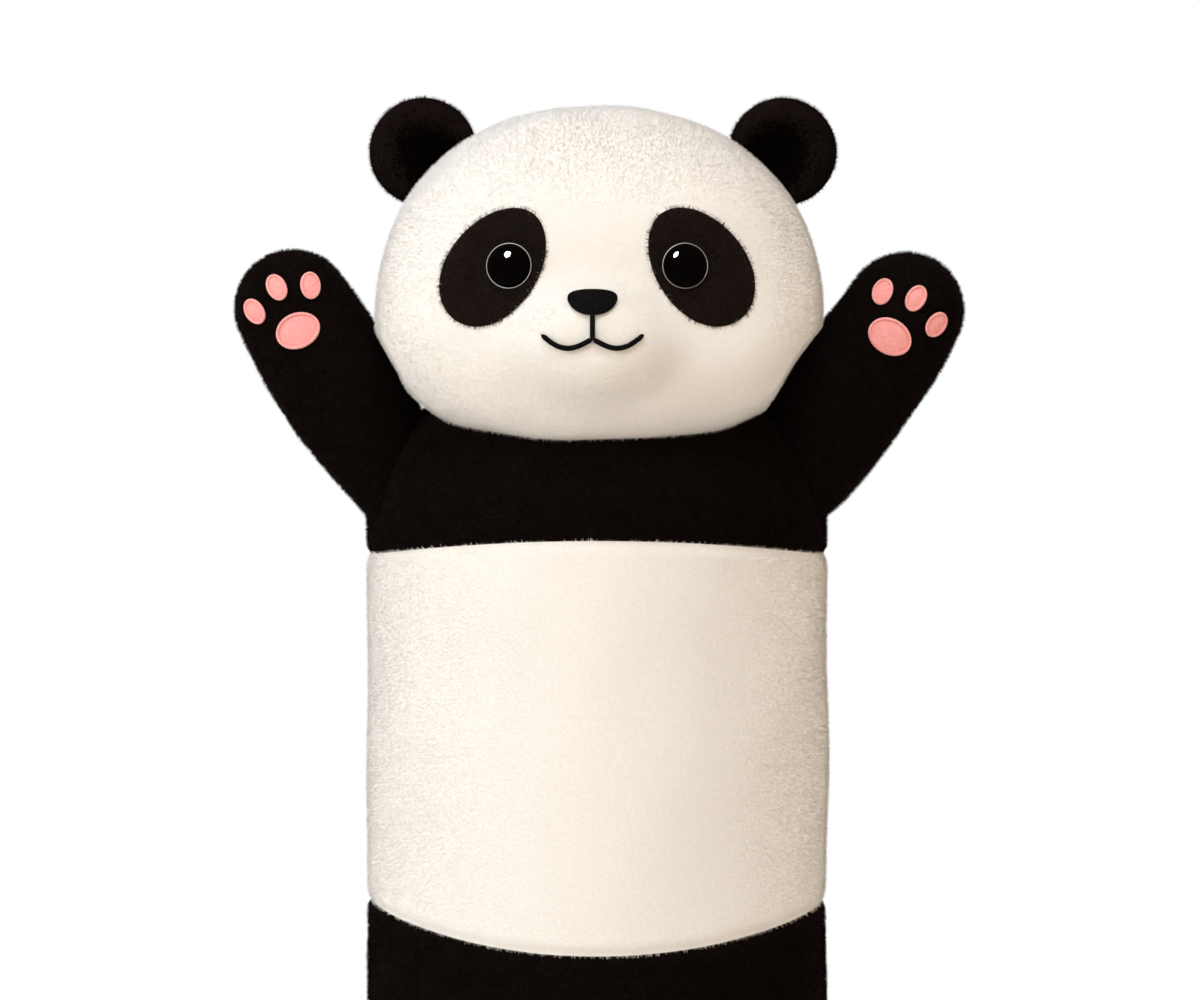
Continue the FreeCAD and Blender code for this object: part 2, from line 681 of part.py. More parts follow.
def build_ear(side_name, side):
    """Front and back panels and the filling of an ear, relieved where they meet the head when it folds."""
    place = ear_frame(side)
    relief = []
    head = doc.getObject("ear_relief_head")
    for step in (-1, 0, 1):
        turn = Placement(Vector(0, 0, 0), Rotation(Vector(1, 0, 0), step * size("ear_range")))
        relief.append(copy_at(f"{side_name}_relief_{step + 1}", head, turn.multiply(place.inverse())))
    reliefs = fuse(f"{side_name}_reliefs", *relief)
    reliefs.Refine = False
    lens = cut(f"{side_name}_ear_outer", ear_lens(f"{side_name}_lens", 0.0), reliefs)
    hollow = ear_lens(f"{side_name}_hollow", size("cover"))
    wall = cut(f"{side_name}_ear_wall", lens, hollow)
    front = box(f"{side_name}_ear_front", Vector(-FAR, -FAR, -FAR), Vector(FAR, 0, FAR))
    back = box(f"{side_name}_ear_back", Vector(-FAR, 0, -FAR), Vector(FAR, FAR, FAR))
    node(f"{side_name}_ear_front_panel", common(f"{side_name}_ear_f", wall, front), place)
    node(f"{side_name}_ear_back_panel", common(f"{side_name}_ear_b", wall, back), place)
    filling = ear_lens(f"{side_name}_ear_core", size("cover") + 0.4)
    node(f"{side_name}_ear_filling", cut(f"{side_name}_ear_fill", filling, reliefs), place)


def pad_set(name, form_far, form_near, faces):
    """Raised pads: the parts of a thin layer over a form that lie inside flat outlines."""
    layer = cut(f"{name}_layer", form_far, form_near)
    return common(name, layer, feature(f"{name}_prism", prism(faces)))


def build_arm(side_name, side):
    """Front and back panels, stuffing and pink pads of an arm."""
    place = arm_frame(side_name, side)
    skin = capsule(f"{side_name}_arm_skin", 0.0)
    wall = cut(f"{side_name}_arm_wall", skin, capsule(f"{side_name}_arm_inner", -size("cover")))
    front = box(f"{side_name}_arm_front", Vector(-FAR, -FAR, -FAR), Vector(FAR, 0, FAR))
    back = box(f"{side_name}_arm_back", Vector(-FAR, 0, -FAR), Vector(FAR, FAR, FAR))
    node(f"{side_name}_arm_front_panel", common(f"{side_name}_arm_f", wall, front), place)
    node(f"{side_name}_arm_back_panel", common(f"{side_name}_arm_b", wall, back), place)
    node(f"{side_name}_arm_stuffing", capsule(f"{side_name}_arm_core", CORE), place)

    tip = size("arm_length")
    palm = disc_face(
        Vector(0, 0, tip - size("palm_down")), size("palm_width") / 2, size("palm_height") / 2
    )
    fingers = [
        disc_face(
            Vector(way * size("finger_side"), 0, tip + size("finger_up" if way else "finger_top")),
            size("finger_width") / 2,
            size("finger_height") / 2,
            way * size("finger_fan"),
        )
        for way in (-1, 0, 1)
    ]
    for name, faces in (("palm_pad", [palm]), ("finger_pads", fingers)):
        far = capsule(f"{side_name}_{name}_far", size("raised"))
        near = capsule(f"{side_name}_{name}_near", 0.05)
        node(f"{side_name}_{name}", pad_set(f"{side_name}_{name}_set", far, near, faces), place)


def build_leg(side_name, side):
    """Tube, sole, stuffing and pink pads of a foot."""
    place = leg_frame(side)
    skin = stub(f"{side_name}_leg_skin", 0.0)
    inner = stub(f"{side_name}_leg_inner", -size("cover"))
    wall = cut(f"{side_name}_leg_wall", skin, inner)
    sole_tool = cylinder(f"{side_name}_sole_tool", "leg_radius - sole_round", "cover * 2")
    sole_tool.setExpression("Placement.Base.z", bound("leg_length - cover * 1.5"))
    node(f"{side_name}_leg_cover", cut(f"{side_name}_leg_tube", wall, sole_tool), place)
    disc = cylinder(f"{side_name}_sole_disc", "leg_radius - sole_round - patch_gap", "cover")
    onto_sole = Placement(Vector(0, 0, size("leg_length") - size("cover")), Rotation())
    node(f"{side_name}_sole_panel", disc, place.multiply(onto_sole))
    node(f"{side_name}_leg_stuffing", stub(f"{side_name}_leg_core", CORE), place)

    def pad(across, up, width, height, fan=0.0):
        """A raised elliptical pad lying on the sole, its own height along +Y."""
        flat = disc_face(Vector(0, 0, 0), width / 2, height / 2, fan)
        solid = flat.extrude(Vector(0, -size("raised"), 0))
        onto = Placement(Vector(across, up, size("leg_length") + 0.05), Rotation(Vector(1, 0, 0), -90))
        solid.Placement = onto.multiply(solid.Placement)
        return solid

    sole_pad = pad(0, -size("sole_pad_drop"), size("sole_pad_width"), size("sole_pad_height"))
    toes = [
        pad(
            way * size("toe_side"),
            size("toe_up" if way else "toe_top"),
            size("toe_width"),
            size("toe_height"),
            way * size("toe_fan"),
        )
        for way in (-1, 0, 1)
    ]
    for name, pads in (("sole_pad", [sole_pad]), ("toe_pads", toes)):
        made = feature(f"{side_name}_{name}_solids", Part.makeCompound(pads))
        node(f"{side_name}_{name}", made, place)


def check_and_write():
    """Stops on any failed object or bad shape, then writes each sub-part to its own STEP file."""
    doc.recompute()
    for made in doc.Objects:
        if {"Invalid", "Error"} & set(made.State):
            raise RuntimeError(f"{made.Name} failed: {made.State}")
    os.makedirs("parts", exist_ok=True)
    for made in nodes:
        shape = made.Shape
        if shape.isNull() or not shape.isValid() or not shape.Solids:
            raise RuntimeError(f"{made.Label} has no valid solid")
        shape.exportStep(os.path.join("parts", f"{made.Label}.step"))
        print(f"{made.Label:28s} {len(shape.Solids)} solid(s) {shape.Volume / 1000:9.2f} cm3")


build_tube(build_head())
build_back()
for limb_name, limb_side in SIDES:
    build_ear(limb_name, limb_side)
    build_arm(limb_name, limb_side)
    build_leg(limb_name, limb_side)
check_and_write()
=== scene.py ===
"""The looks of a long stuffed panda: plush with real pile, glossy eyes, satin stitching and pink pads.

Metres, in the shared frame: +Z up, the face looks along -Y, the toy's own left is +X. Values given by side
have the key 1 for the toy's left and -1 for its right.
"""

import json
import math

import bpy
import numpy as np
from mathutils import Matrix, Vector
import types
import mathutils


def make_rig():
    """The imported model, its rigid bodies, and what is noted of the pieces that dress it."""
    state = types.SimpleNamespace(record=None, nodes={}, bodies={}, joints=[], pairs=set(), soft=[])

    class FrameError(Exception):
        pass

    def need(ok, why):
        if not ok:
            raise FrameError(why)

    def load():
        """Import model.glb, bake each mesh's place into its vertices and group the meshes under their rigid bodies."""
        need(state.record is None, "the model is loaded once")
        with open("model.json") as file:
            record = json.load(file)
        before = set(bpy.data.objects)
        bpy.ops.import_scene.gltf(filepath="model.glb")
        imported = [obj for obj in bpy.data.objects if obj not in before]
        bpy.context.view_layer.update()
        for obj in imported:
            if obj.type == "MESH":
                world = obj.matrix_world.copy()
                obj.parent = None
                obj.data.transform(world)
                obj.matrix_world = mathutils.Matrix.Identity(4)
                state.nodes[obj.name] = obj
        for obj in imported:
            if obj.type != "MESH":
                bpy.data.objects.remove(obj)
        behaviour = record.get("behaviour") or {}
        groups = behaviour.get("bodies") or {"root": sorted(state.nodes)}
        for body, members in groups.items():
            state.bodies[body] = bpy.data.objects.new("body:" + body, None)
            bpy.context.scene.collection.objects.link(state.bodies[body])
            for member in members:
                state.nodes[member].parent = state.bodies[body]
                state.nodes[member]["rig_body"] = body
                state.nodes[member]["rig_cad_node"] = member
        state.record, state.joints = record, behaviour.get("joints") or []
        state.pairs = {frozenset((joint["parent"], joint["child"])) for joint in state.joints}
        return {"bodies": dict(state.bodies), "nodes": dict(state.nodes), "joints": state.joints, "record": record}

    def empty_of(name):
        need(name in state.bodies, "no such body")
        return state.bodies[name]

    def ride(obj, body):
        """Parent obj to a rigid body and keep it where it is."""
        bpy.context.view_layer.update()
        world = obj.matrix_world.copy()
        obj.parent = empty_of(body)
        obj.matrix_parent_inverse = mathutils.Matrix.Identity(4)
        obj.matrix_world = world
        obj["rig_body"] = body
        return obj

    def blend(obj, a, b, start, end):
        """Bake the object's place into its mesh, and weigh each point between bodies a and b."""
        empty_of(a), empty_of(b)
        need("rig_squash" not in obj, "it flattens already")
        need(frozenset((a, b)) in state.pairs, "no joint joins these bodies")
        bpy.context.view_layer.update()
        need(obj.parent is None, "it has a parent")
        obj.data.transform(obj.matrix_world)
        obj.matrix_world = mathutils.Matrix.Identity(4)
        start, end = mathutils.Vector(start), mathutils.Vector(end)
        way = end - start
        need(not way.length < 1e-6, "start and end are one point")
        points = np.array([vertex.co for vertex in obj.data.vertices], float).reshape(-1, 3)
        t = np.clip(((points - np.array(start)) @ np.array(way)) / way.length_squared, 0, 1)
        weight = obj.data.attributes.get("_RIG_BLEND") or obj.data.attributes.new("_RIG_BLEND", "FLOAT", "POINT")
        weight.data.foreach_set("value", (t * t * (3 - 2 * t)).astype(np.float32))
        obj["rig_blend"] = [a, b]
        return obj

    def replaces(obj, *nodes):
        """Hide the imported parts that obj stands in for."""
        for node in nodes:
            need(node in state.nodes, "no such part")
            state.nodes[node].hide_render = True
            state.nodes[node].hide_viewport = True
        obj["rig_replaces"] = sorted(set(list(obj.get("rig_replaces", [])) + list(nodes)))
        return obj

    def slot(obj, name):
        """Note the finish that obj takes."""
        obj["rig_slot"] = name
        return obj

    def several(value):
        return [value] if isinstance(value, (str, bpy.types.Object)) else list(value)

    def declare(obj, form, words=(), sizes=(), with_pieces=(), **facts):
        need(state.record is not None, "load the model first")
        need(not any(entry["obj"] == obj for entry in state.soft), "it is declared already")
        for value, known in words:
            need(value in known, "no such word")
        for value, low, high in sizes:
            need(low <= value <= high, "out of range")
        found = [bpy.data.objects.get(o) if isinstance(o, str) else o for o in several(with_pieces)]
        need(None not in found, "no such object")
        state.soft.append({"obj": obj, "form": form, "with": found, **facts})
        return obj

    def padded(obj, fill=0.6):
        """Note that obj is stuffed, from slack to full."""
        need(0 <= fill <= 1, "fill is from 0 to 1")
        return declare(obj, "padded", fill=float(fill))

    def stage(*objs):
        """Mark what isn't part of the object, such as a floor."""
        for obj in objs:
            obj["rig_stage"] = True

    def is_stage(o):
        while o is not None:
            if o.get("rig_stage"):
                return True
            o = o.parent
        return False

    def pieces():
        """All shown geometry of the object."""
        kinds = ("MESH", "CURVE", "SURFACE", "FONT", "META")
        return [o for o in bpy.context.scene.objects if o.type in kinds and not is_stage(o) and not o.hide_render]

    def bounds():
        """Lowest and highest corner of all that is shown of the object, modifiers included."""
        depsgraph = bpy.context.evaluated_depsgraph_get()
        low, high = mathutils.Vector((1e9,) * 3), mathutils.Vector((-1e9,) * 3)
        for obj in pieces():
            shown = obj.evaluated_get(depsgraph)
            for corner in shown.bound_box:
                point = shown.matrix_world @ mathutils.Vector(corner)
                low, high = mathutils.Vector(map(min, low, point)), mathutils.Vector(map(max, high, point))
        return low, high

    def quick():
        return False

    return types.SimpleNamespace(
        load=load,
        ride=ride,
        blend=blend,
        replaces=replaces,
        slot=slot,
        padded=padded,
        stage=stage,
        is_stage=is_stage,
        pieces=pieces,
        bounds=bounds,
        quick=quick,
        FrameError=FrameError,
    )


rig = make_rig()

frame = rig.load()
SIDES = (("left", 1.0), ("right", -1.0))

# The tube
BODY_RADIUS = 0.1185
GROUND = 0.0006
BASE_RADIUS = 0.088
BOTTOM_ROUND = 0.03
TOP_START, TOP_ROUND = 0.425, 0.06
TUBE_TOP = 0.4845

# The arms
SHOULDER = {1.0: np.array([0.103, -0.024, 0.441]), -1.0: np.array([-0.103, -0.024, 0.441])}
ARM_LEAN = {1.0: math.radians(32.7), -1.0: math.radians(31.2)}
ARM_LENGTH = 0.103
ARM_ROOT = -0.012
HAND_RADIUS = 0.0288
ARM_STATIONS = [ARM_ROOT, 0.0, 0.014, 0.026, 0.044, 0.062, 0.080, 0.0975, 0.112]
ARM_PROFILE = {
    1.0: [0.0240, 0.0280, 0.0304, 0.0320, 0.0332, 0.0326, 0.0316, 0.0302, 0.0290],
    -1.0: [0.0222, 0.0242, 0.0270, 0.0290, 0.0315, 0.0317, 0.0313, 0.0303, 0.0290],
}

# The feet
HIP = {1.0: np.array([0.054, -0.088, 0.0395]), -1.0: np.array([-0.054, -0.088, 0.0395])}
LEG_SPLAY = math.radians(14)
LEG_LENGTH = 0.072
LEG_RADIUS = 0.035
SOLE_ROUND = 0.015

# The head, the face and the ears
HEAD_Y = -0.012
HEAD_MIDDLE = np.array([0.0010, -0.016, 0.521])
HEAD_HALF, HEAD_DEEP, HEAD_TALL = 0.1122, 0.1120, 0.1095
FACE_SHIFT = -0.0022
MUZZLE_HEIGHT, MUZZLE_HALF, MUZZLE_TALL = 0.5065, 0.0370, 0.0262
EYE_ACROSS, EYE_HEIGHT, EYE_RADIUS = 0.0424, 0.5431, 0.0107
PATCH_MIDDLE = np.array([0.0501, 0.5431])
PATCH_LONG, PATCH_SHORT, PATCH_LEAN = 0.0319, 0.0222, math.radians(36)
PATCH_TAPER = 0.06
STITCH_RADIUS = 0.00125
EAR_BASE = {1.0: np.array([0.0880, 0.004, 0.6026]), -1.0: np.array([-0.0820, 0.004, 0.6026])}
EAR_LEAN = math.radians(44.2)
EAR_RADIUS, EAR_HALF, EAR_RISE = 0.0280, 0.0125, 0.0125


def save_size(key):
    low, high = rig.bounds()
    sizes = {} if key == "cad" else json.load(open("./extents.json"))
    sizes[key] = [[float(v) for v in low], [float(v) for v in high]]
    json.dump(sizes, open("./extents.json", "w"))


save_size("cad")


# ---------------------------------------------------------------- materials


def plain(name, color, roughness, **sockets):
    """A material whose values are the same all over the surface."""
    made = bpy.data.materials.new(name)
    made.use_nodes = True
    shader = made.node_tree.nodes["Principled BSDF"]
    shader.inputs["Base Color"].default_value = (*color, 1)
    shader.inputs["Roughness"].default_value = roughness
    for socket, value in sockets.items():
        shader.inputs[socket.replace("_", " ")].default_value = value
    return made


def cloth(name, dark, light, scale, bump, roughness=0.95, sheen=0.0, sheen_tint=(1, 1, 1)):
    """Woven or napped fabric: a fine noise that moves the colour between two tones and raises the surface."""
    made = plain(name, light, roughness)
    nodes, links = made.node_tree.nodes, made.node_tree.links
    shader = nodes["Principled BSDF"]
    shader.inputs["Sheen Weight"].default_value = sheen
    shader.inputs["Sheen Roughness"].default_value = 0.3
    shader.inputs["Sheen Tint"].default_value = (*sheen_tint, 1)
    shader.inputs["Specular IOR Level"].default_value = 0.0
    coords = nodes.new("ShaderNodeTexCoord")
    noise = nodes.new("ShaderNodeTexNoise")
    noise.inputs["Scale"].default_value = scale
    noise.inputs["Detail"].default_value = 4
    ramp = nodes.new("ShaderNodeValToRGB")
    ramp.color_ramp.elements[0].position = 0.35
    ramp.color_ramp.elements[0].color = (*dark, 1)
    ramp.color_ramp.elements[1].position = 0.65
    ramp.color_ramp.elements[1].color = (*light, 1)
    raised = nodes.new("ShaderNodeBump")
    raised.inputs["Strength"].default_value = bump
    raised.inputs["Distance"].default_value = 0.0008
    links.new(coords.outputs["Object"], noise.inputs["Vector"])
    links.new(noise.outputs["Fac"], ramp.inputs["Fac"])
    links.new(ramp.outputs["Color"], shader.inputs["Base Color"])
    links.new(noise.outputs["Fac"], raised.inputs["Height"])
    links.new(raised.outputs["Normal"], shader.inputs["Normal"])
    return made


WHITE_SKIN = cloth("white_backing", (0.835, 0.785, 0.715), (0.875, 0.83, 0.765), 600, 0.15)
BLACK_SKIN = cloth(
    "black_backing", (0.0038, 0.0025, 0.0022), (0.0078, 0.0052, 0.0045), 900, 0.5,
    sheen=0.04, sheen_tint=(1.0, 0.80, 0.70),
)
DARK_SKIN = cloth("black_nap", (0.0085, 0.0058, 0.0047), (0.0150, 0.0105, 0.0086), 900, 0.5)
# The ear's cloth is lighter than the body's, as painted light on its rim. The hollow's cloth is darker, as painted
# shade in the recess.
EAR_SKIN = cloth("ear_nap", (0.0062, 0.0041, 0.0034), (0.0110, 0.0074, 0.0062), 900, 0.5)
HOLLOW_PAINTED_SHADE = cloth("hollow_nap", (0.0018, 0.0012, 0.0010), (0.0034, 0.0022, 0.0019), 900, 0.5)
PINK_SKIN = cloth("pink_nap", (0.86, 0.335, 0.31), (0.95, 0.41, 0.385), 900, 0.5)
PINK_EDGE = cloth("pink_thread", (0.87, 0.35, 0.325), (0.96, 0.44, 0.415), 1500, 0.5)
STITCH = cloth("black_satin", (0.004, 0.004, 0.004), (0.012, 0.011, 0.011), 1800, 0.8, roughness=0.55)
THREAD = cloth("seam_thread", (0.03, 0.03, 0.03), (0.07, 0.065, 0.065), 1500, 0.5, roughness=0.7)
LABEL = cloth("label_ribbon", (0.80, 0.79, 0.77), (0.88, 0.88, 0.86), 1200, 0.3, roughness=0.5)
WHITE_PILE = [
    plain(f"white_pile_{i}", color, 1.0, Specular_IOR_Level=0.0)
    for i, color in enumerate([(0.89, 0.845, 0.785), (0.91, 0.87, 0.81), (0.865, 0.815, 0.75)])
]
# A darker copy of the white pile's tints, used only for painted shade in the fold round the muzzle.
PAINTED_SHADE_PILE = plain("white_pile_shaded", (0.82, 0.76, 0.68), 1.0, Specular_IOR_Level=0.0)
BLACK_PILE = [
    plain(f"black_pile_{i}", color, 1.0, Specular_IOR_Level=0.0)
    for i, color in enumerate([(0.0058, 0.0036, 0.0030), (0.0092, 0.0060, 0.0050), (0.0040, 0.0025, 0.0020)])
]
PATCH_PILE = [
    plain(f"patch_pile_{i}", color, 1.0, Specular_IOR_Level=0.0)
    for i, color in enumerate([(0.022, 0.0150, 0.0120), (0.034, 0.0235, 0.0190), (0.015, 0.0100, 0.0080)])
]
EYE = plain("eye_dome", (0.0012, 0.0008, 0.0006), 0.04, Specular_IOR_Level=0.015)
# The eye's edge ring: its pale brown is a painted highlight for the glint along the eye's rim.
RIM_PAINTED_GLINT = plain("eye_edge", (0.065, 0.048, 0.038), 0.6, Specular_IOR_Level=0.1)
WASHER = plain("washer", (0.75, 0.75, 0.72), 0.5)


# ---------------------------------------------------------------- surfaces


def unit(vectors):
    """Vectors scaled to a length of one."""
    return vectors / np.maximum(np.linalg.norm(vectors, axis=-1, keepdims=True), 1e-12)


def turns(count):
    """The angles of evenly spaced points round a circle."""
    return np.arange(count) * 2 * math.pi / count


def smooth(share):
    """A share between 0 and 1, eased in and out."""
    return share * share * (3 - 2 * share)


def waves(points, seed, period, count=14):
    """A smooth random field of about -1 to 1 over points, whose features are about a period across."""
    rng = np.random.default_rng(seed)
    directions = unit(rng.normal(size=(count, 3)))
    lengths = 2 * math.pi / (period * rng.uniform(0.7, 1.6, count))
    phases = rng.uniform(0, 2 * math.pi, count)
    return np.sin(points @ (directions * lengths[:, None]).T + phases).sum(axis=1) / math.sqrt(count)


def object_from(name, points, faces, material):
    """A smooth-shaded mesh object with one material."""
    mesh = bpy.data.meshes.new(name)
    mesh.from_pydata([tuple(p) for p in points], [], faces)
    mesh.materials.append(material)
    mesh.polygons.foreach_set("use_smooth", [True] * len(mesh.polygons))
    mesh.update()
    made = bpy.data.objects.new(name, mesh)
    bpy.context.scene.collection.objects.link(made)
    return made


def grid(name, rows, material, start_pole=False, end_pole=False):
    """A tube of rings: rows is (rings, points per ring, 3). A pole closes an end at its ring's middle."""
    rings, around, _ = rows.shape
    points = rows.reshape(-1, 3).tolist()
    faces = []
    for i in range(rings - 1):
        for j in range(around):
            k = (j + 1) % around
            faces.append((i * around + j, i * around + k, (i + 1) * around + k, (i + 1) * around + j))
    if start_pole:
        points.append(rows[0].mean(axis=0).tolist())
        faces += [((j + 1) % around, j, len(points) - 1) for j in range(around)]
    if end_pole:
        points.append(rows[-1].mean(axis=0).tolist())
        base = (rings - 1) * around
        faces += [(base + j, base + (j + 1) % around, len(points) - 1) for j in range(around)]
    return object_from(name, points, faces, material)


def skin_data(made):
    """Corner points and outward normals of a mesh's triangles as arrays, and the triangles' areas."""
    mesh = made.data
    mesh.calc_loop_triangles()
    points = np.empty(len(mesh.vertices) * 3)
    mesh.vertices.foreach_get("co", points)
    points = points.reshape(-1, 3)
    normals = np.empty(len(mesh.vertices) * 3)
    mesh.vertices.foreach_get("normal", normals)
    normals = normals.reshape(-1, 3)
    triangles = np.empty(len(mesh.loop_triangles) * 3, int)
    mesh.loop_triangles.foreach_get("vertices", triangles)
    triangles = triangles.reshape(-1, 3)
    a, b, c = (points[triangles[:, i]] for i in range(3))
    areas = np.linalg.norm(np.cross(b - a, c - a), axis=1) / 2
    return points, normals, triangles, areas


PILE_DENSITY = 0.35e6 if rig.quick() else 1.1e6
FIBRE_WIDTH = 0.00032 * (1.6 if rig.quick() else 1.0)
FIBRE_SUNK = 0.0003
FIBRE_FACES = np.array([[0, 1, 3], [1, 2, 3], [2, 0, 3]])
FIBRES_PER_OBJECT = 60000
LIMB_PILE = 0.0018
BLACK_NAP = 0.12


def scatter(made, rng):
    """Random places spread evenly over a mesh, and the outward normals there."""
    points, normals, triangles, areas = skin_data(made)
    count = int(areas.sum() * PILE_DENSITY)
    picked = rng.choice(len(triangles), count, p=areas / areas.sum())
    u, v = rng.random((2, count))
    flip = u + v > 1
    u[flip], v[flip] = 1 - u[flip], 1 - v[flip]
    weights = np.stack([1 - u - v, u, v], axis=1)
    roots = np.einsum("nk,nkc->nc", weights, points[triangles[picked]])
    return roots, unit(np.einsum("nk,nkc->nc", weights, normals[triangles[picked]]))


def fibre_object(name, spikes, facing, order, tints, casts):
    """One object of many fibres, each with three root corners, a tip, a shading normal and a tint."""
    vertices = spikes.reshape(-1, 3)
    base = np.arange(len(spikes))[:, None] * 4
    faces = (base[:, :, None] + FIBRE_FACES[None]).reshape(-1, 3)
    mesh = bpy.data.meshes.new(name)
    mesh.vertices.add(len(vertices))
    mesh.vertices.foreach_set("co", vertices.ravel())
    mesh.loops.add(len(faces) * 3)
    mesh.loops.foreach_set("vertex_index", faces.ravel())
    mesh.polygons.add(len(faces))
    mesh.polygons.foreach_set("loop_start", np.arange(len(faces)) * 3)
    mesh.polygons.foreach_set("material_index", np.repeat(order, 3).astype(np.int32))
    for tint in tints:
        mesh.materials.append(tint)
    mesh.update(calc_edges=True)
    mesh.polygons.foreach_set("use_smooth", np.ones(len(faces), bool))
    mesh.normals_split_custom_set_from_vertices(np.repeat(facing, 4, axis=0).tolist())
    fibres = bpy.data.objects.new(name, mesh)
    fibres.visible_shadow = fibres.visible_diffuse = casts
    bpy.context.scene.collection.objects.link(fibres)
    return fibres


def pile(name, made, tints, seed, keep, length=0.0021, comb=(0, 0, -0.35), nap=0.05, shade=None, casts=True):
    """Short tapered fibres standing on a skin: three-sided spikes that lean with a soft random nap.

    keep says which roots get a fibre, comb which way they lean, and shade how far their tint moves down the
    list, towards the darker tints given last: painted shade. Without casts they throw no shadow of their own, which
    keeps white plush free of dark specks.
    """
    rng = np.random.default_rng(seed)
    roots, outward = scatter(made, rng)
    chosen = keep(roots, outward)
    roots, outward = roots[chosen], outward[chosen]
    count = len(roots)
    swirl = np.stack([waves(roots, seed + 10 + i, 0.012) for i in range(3)], axis=1)
    combed = comb(roots) if callable(comb) else np.array(comb)
    lean = swirl * nap + combed + rng.normal(size=(count, 3)) * 0.22
    lean -= outward * np.sum(lean * outward, axis=1, keepdims=True)
    direction = unit(outward + lean)
    lengths = length * rng.uniform(0.7, 1.15, count) * (1 + nap * waves(roots, seed + 3, 0.02))
    tips = roots + direction * lengths[:, None]
    side = unit(np.cross(direction, rng.normal(size=(count, 3))))
    other = np.cross(direction, side)
    half = FIBRE_WIDTH * 0.5 * rng.uniform(0.7, 1.2, count)[:, None]
    corners = [
        roots + (side * math.cos(angle) + other * math.sin(angle)) * half - outward * FIBRE_SUNK
        for angle in (0, 2 * math.pi / 3, 4 * math.pi / 3)
    ]
    spikes = np.stack([*corners, tips], axis=1)
    facing = unit(outward * 0.88 + direction * 0.12 + rng.normal(size=(count, 3)) * 0.03)
    tone = rng.random(count) + 2 * nap * waves(roots, seed + 5, 0.015)
    if shade is not None:
        tone += shade(roots)
    order = np.digitize(tone, [0.45, 0.8, 1.15][: len(tints) - 1])
    made_objects = []
    for part, first in enumerate(range(0, count, FIBRES_PER_OBJECT)):
        chunk = slice(first, first + FIBRES_PER_OBJECT)
        fibres = fibre_object(f"{name}_{part}", spikes[chunk], facing[chunk], order[chunk], tints, casts)
        made_objects.append(fibres)
    return made_objects


def settle(objects, slot, body=None, bend=None):
    """Gives pieces their finish slot and the body, or the two bodies, that they move with."""
    for made in objects:
        if bend:
            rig.blend(made, bend[0], bend[1], start=bend[2], end=bend[3])
        else:
            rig.ride(made, body)
        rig.slot(made, slot)


# ---------------------------------------------------------------- tube


def seam_height(x, front, drop):
    """Height of a seam at a side offset: an arc that falls by drop at the sides, or rises by -drop."""
    radius = (BODY_RADIUS**2 + drop**2) / (2 * abs(drop))
    sag = radius - np.sqrt(np.maximum(radius**2 - np.minimum(np.abs(x), BODY_RADIUS) ** 2, 0))
    return front - math.copysign(1, drop) * sag


def tube_radius(z):
    """The tube's radius at a height: straight, with a round bottom edge and round shoulders."""
    z = np.asarray(z, float)
    radius = np.full(z.shape, BODY_RADIUS)
    low, high = z < BOTTOM_ROUND, z > TOP_START
    fall, rise = BOTTOM_ROUND - z[low], z[high] - TOP_START
    radius[low] += np.sqrt(np.maximum(BOTTOM_ROUND**2 - fall**2, 0)) - BOTTOM_ROUND
    radius[high] += np.sqrt(np.maximum(TOP_ROUND**2 - rise**2, 0)) - TOP_ROUND
    return radius


def tube_panel(name, low, high, material, rows=110, seam_low=True, seam_high=True):
    """One cloth panel of the tube between two heights, given by side offset, and drawn in at its seams."""
    around = 320
    angle = turns(around)
    tuck_reach, tuck_depth = 0.0035, 0.0014
    rings = []
    shares = 0.5 - 0.5 * np.cos(np.linspace(0, math.pi, rows))
    for share in shares:
        x = np.sin(angle) * BODY_RADIUS
        for _ in range(3):
            z = low(x) * (1 - share) + high(x) * share
            x = np.sin(angle) * tube_radius(z)
        radius = tube_radius(z)
        tuck = np.zeros(around)
        if seam_low:
            tuck += np.exp(-(((z - low(x)) / tuck_reach) ** 2))
        if seam_high:
            tuck += np.exp(-(((high(x) - z) / tuck_reach) ** 2))
        place = np.stack([np.sin(angle) * radius, -np.cos(angle) * radius, z], axis=1)
        radius = radius - tuck_depth * tuck + 0.0005 * waves(place, 7, 0.06) - 0.0004
        rings.append(np.stack([np.sin(angle) * radius, -np.cos(angle) * radius, z], axis=1))
    return grid(name, np.array(rings), material)


def chest_seam(x):
    """Height of the seam between chest and belly."""
    return seam_height(x, 0.410, 0.008)


def hip_seam(x):
    """Height of the seam between belly and hips."""
    return seam_height(x, 0.208, -0.0165)


def level(height):
    """A level edge, as a function of the side offset like the seams."""
    return lambda x: np.full(x.shape, height)


chest = tube_panel("chest_plush", chest_seam, level(TUBE_TOP), BLACK_SKIN, rows=50, seam_high=False)
belly = tube_panel("belly_plush", hip_seam, chest_seam, WHITE_SKIN)
hips = tube_panel("hip_plush", level(GROUND), hip_seam, BLACK_SKIN, seam_low=False)
base_rows = []
for radius in (BASE_RADIUS, 0.08, 0.07, 0.05, 0.03, 0.01):
    z = GROUND + 0.0005 * math.sin(math.pi * (radius / BASE_RADIUS))
    base_rows.append([(radius * math.sin(a), -radius * math.cos(a), z) for a in turns(160)])
base_rows = np.array(base_rows)
base = grid("base_cloth", base_rows, BLACK_SKIN, end_pole=True)
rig.replaces(chest, "chest_panel", "chest_seam_thread")
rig.replaces(belly, "belly_panel", "torso_stuffing")
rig.replaces(hips, "hip_panel", "hip_seam_thread")
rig.replaces(base, "base_panel")
for panel, fill in ((chest, 0.9), (belly, 0.95), (hips, 0.9)):
    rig.padded(panel, fill=fill)


# ---------------------------------------------------------------- head


def arm_radius(along, side):
    """An arm's radius at a distance from its shoulder: fullest half way, less at the root and the hand."""
    return np.interp(along, ARM_STATIONS, ARM_PROFILE[side])


def arm_shift(along, side):
    """How far an arm's middle line stands off the straight one: the left arm's root leans on the cheek."""
    return (-0.0032 if side > 0 else 0.0) * smooth(np.clip((0.092 - along) / 0.05, 0, 1))


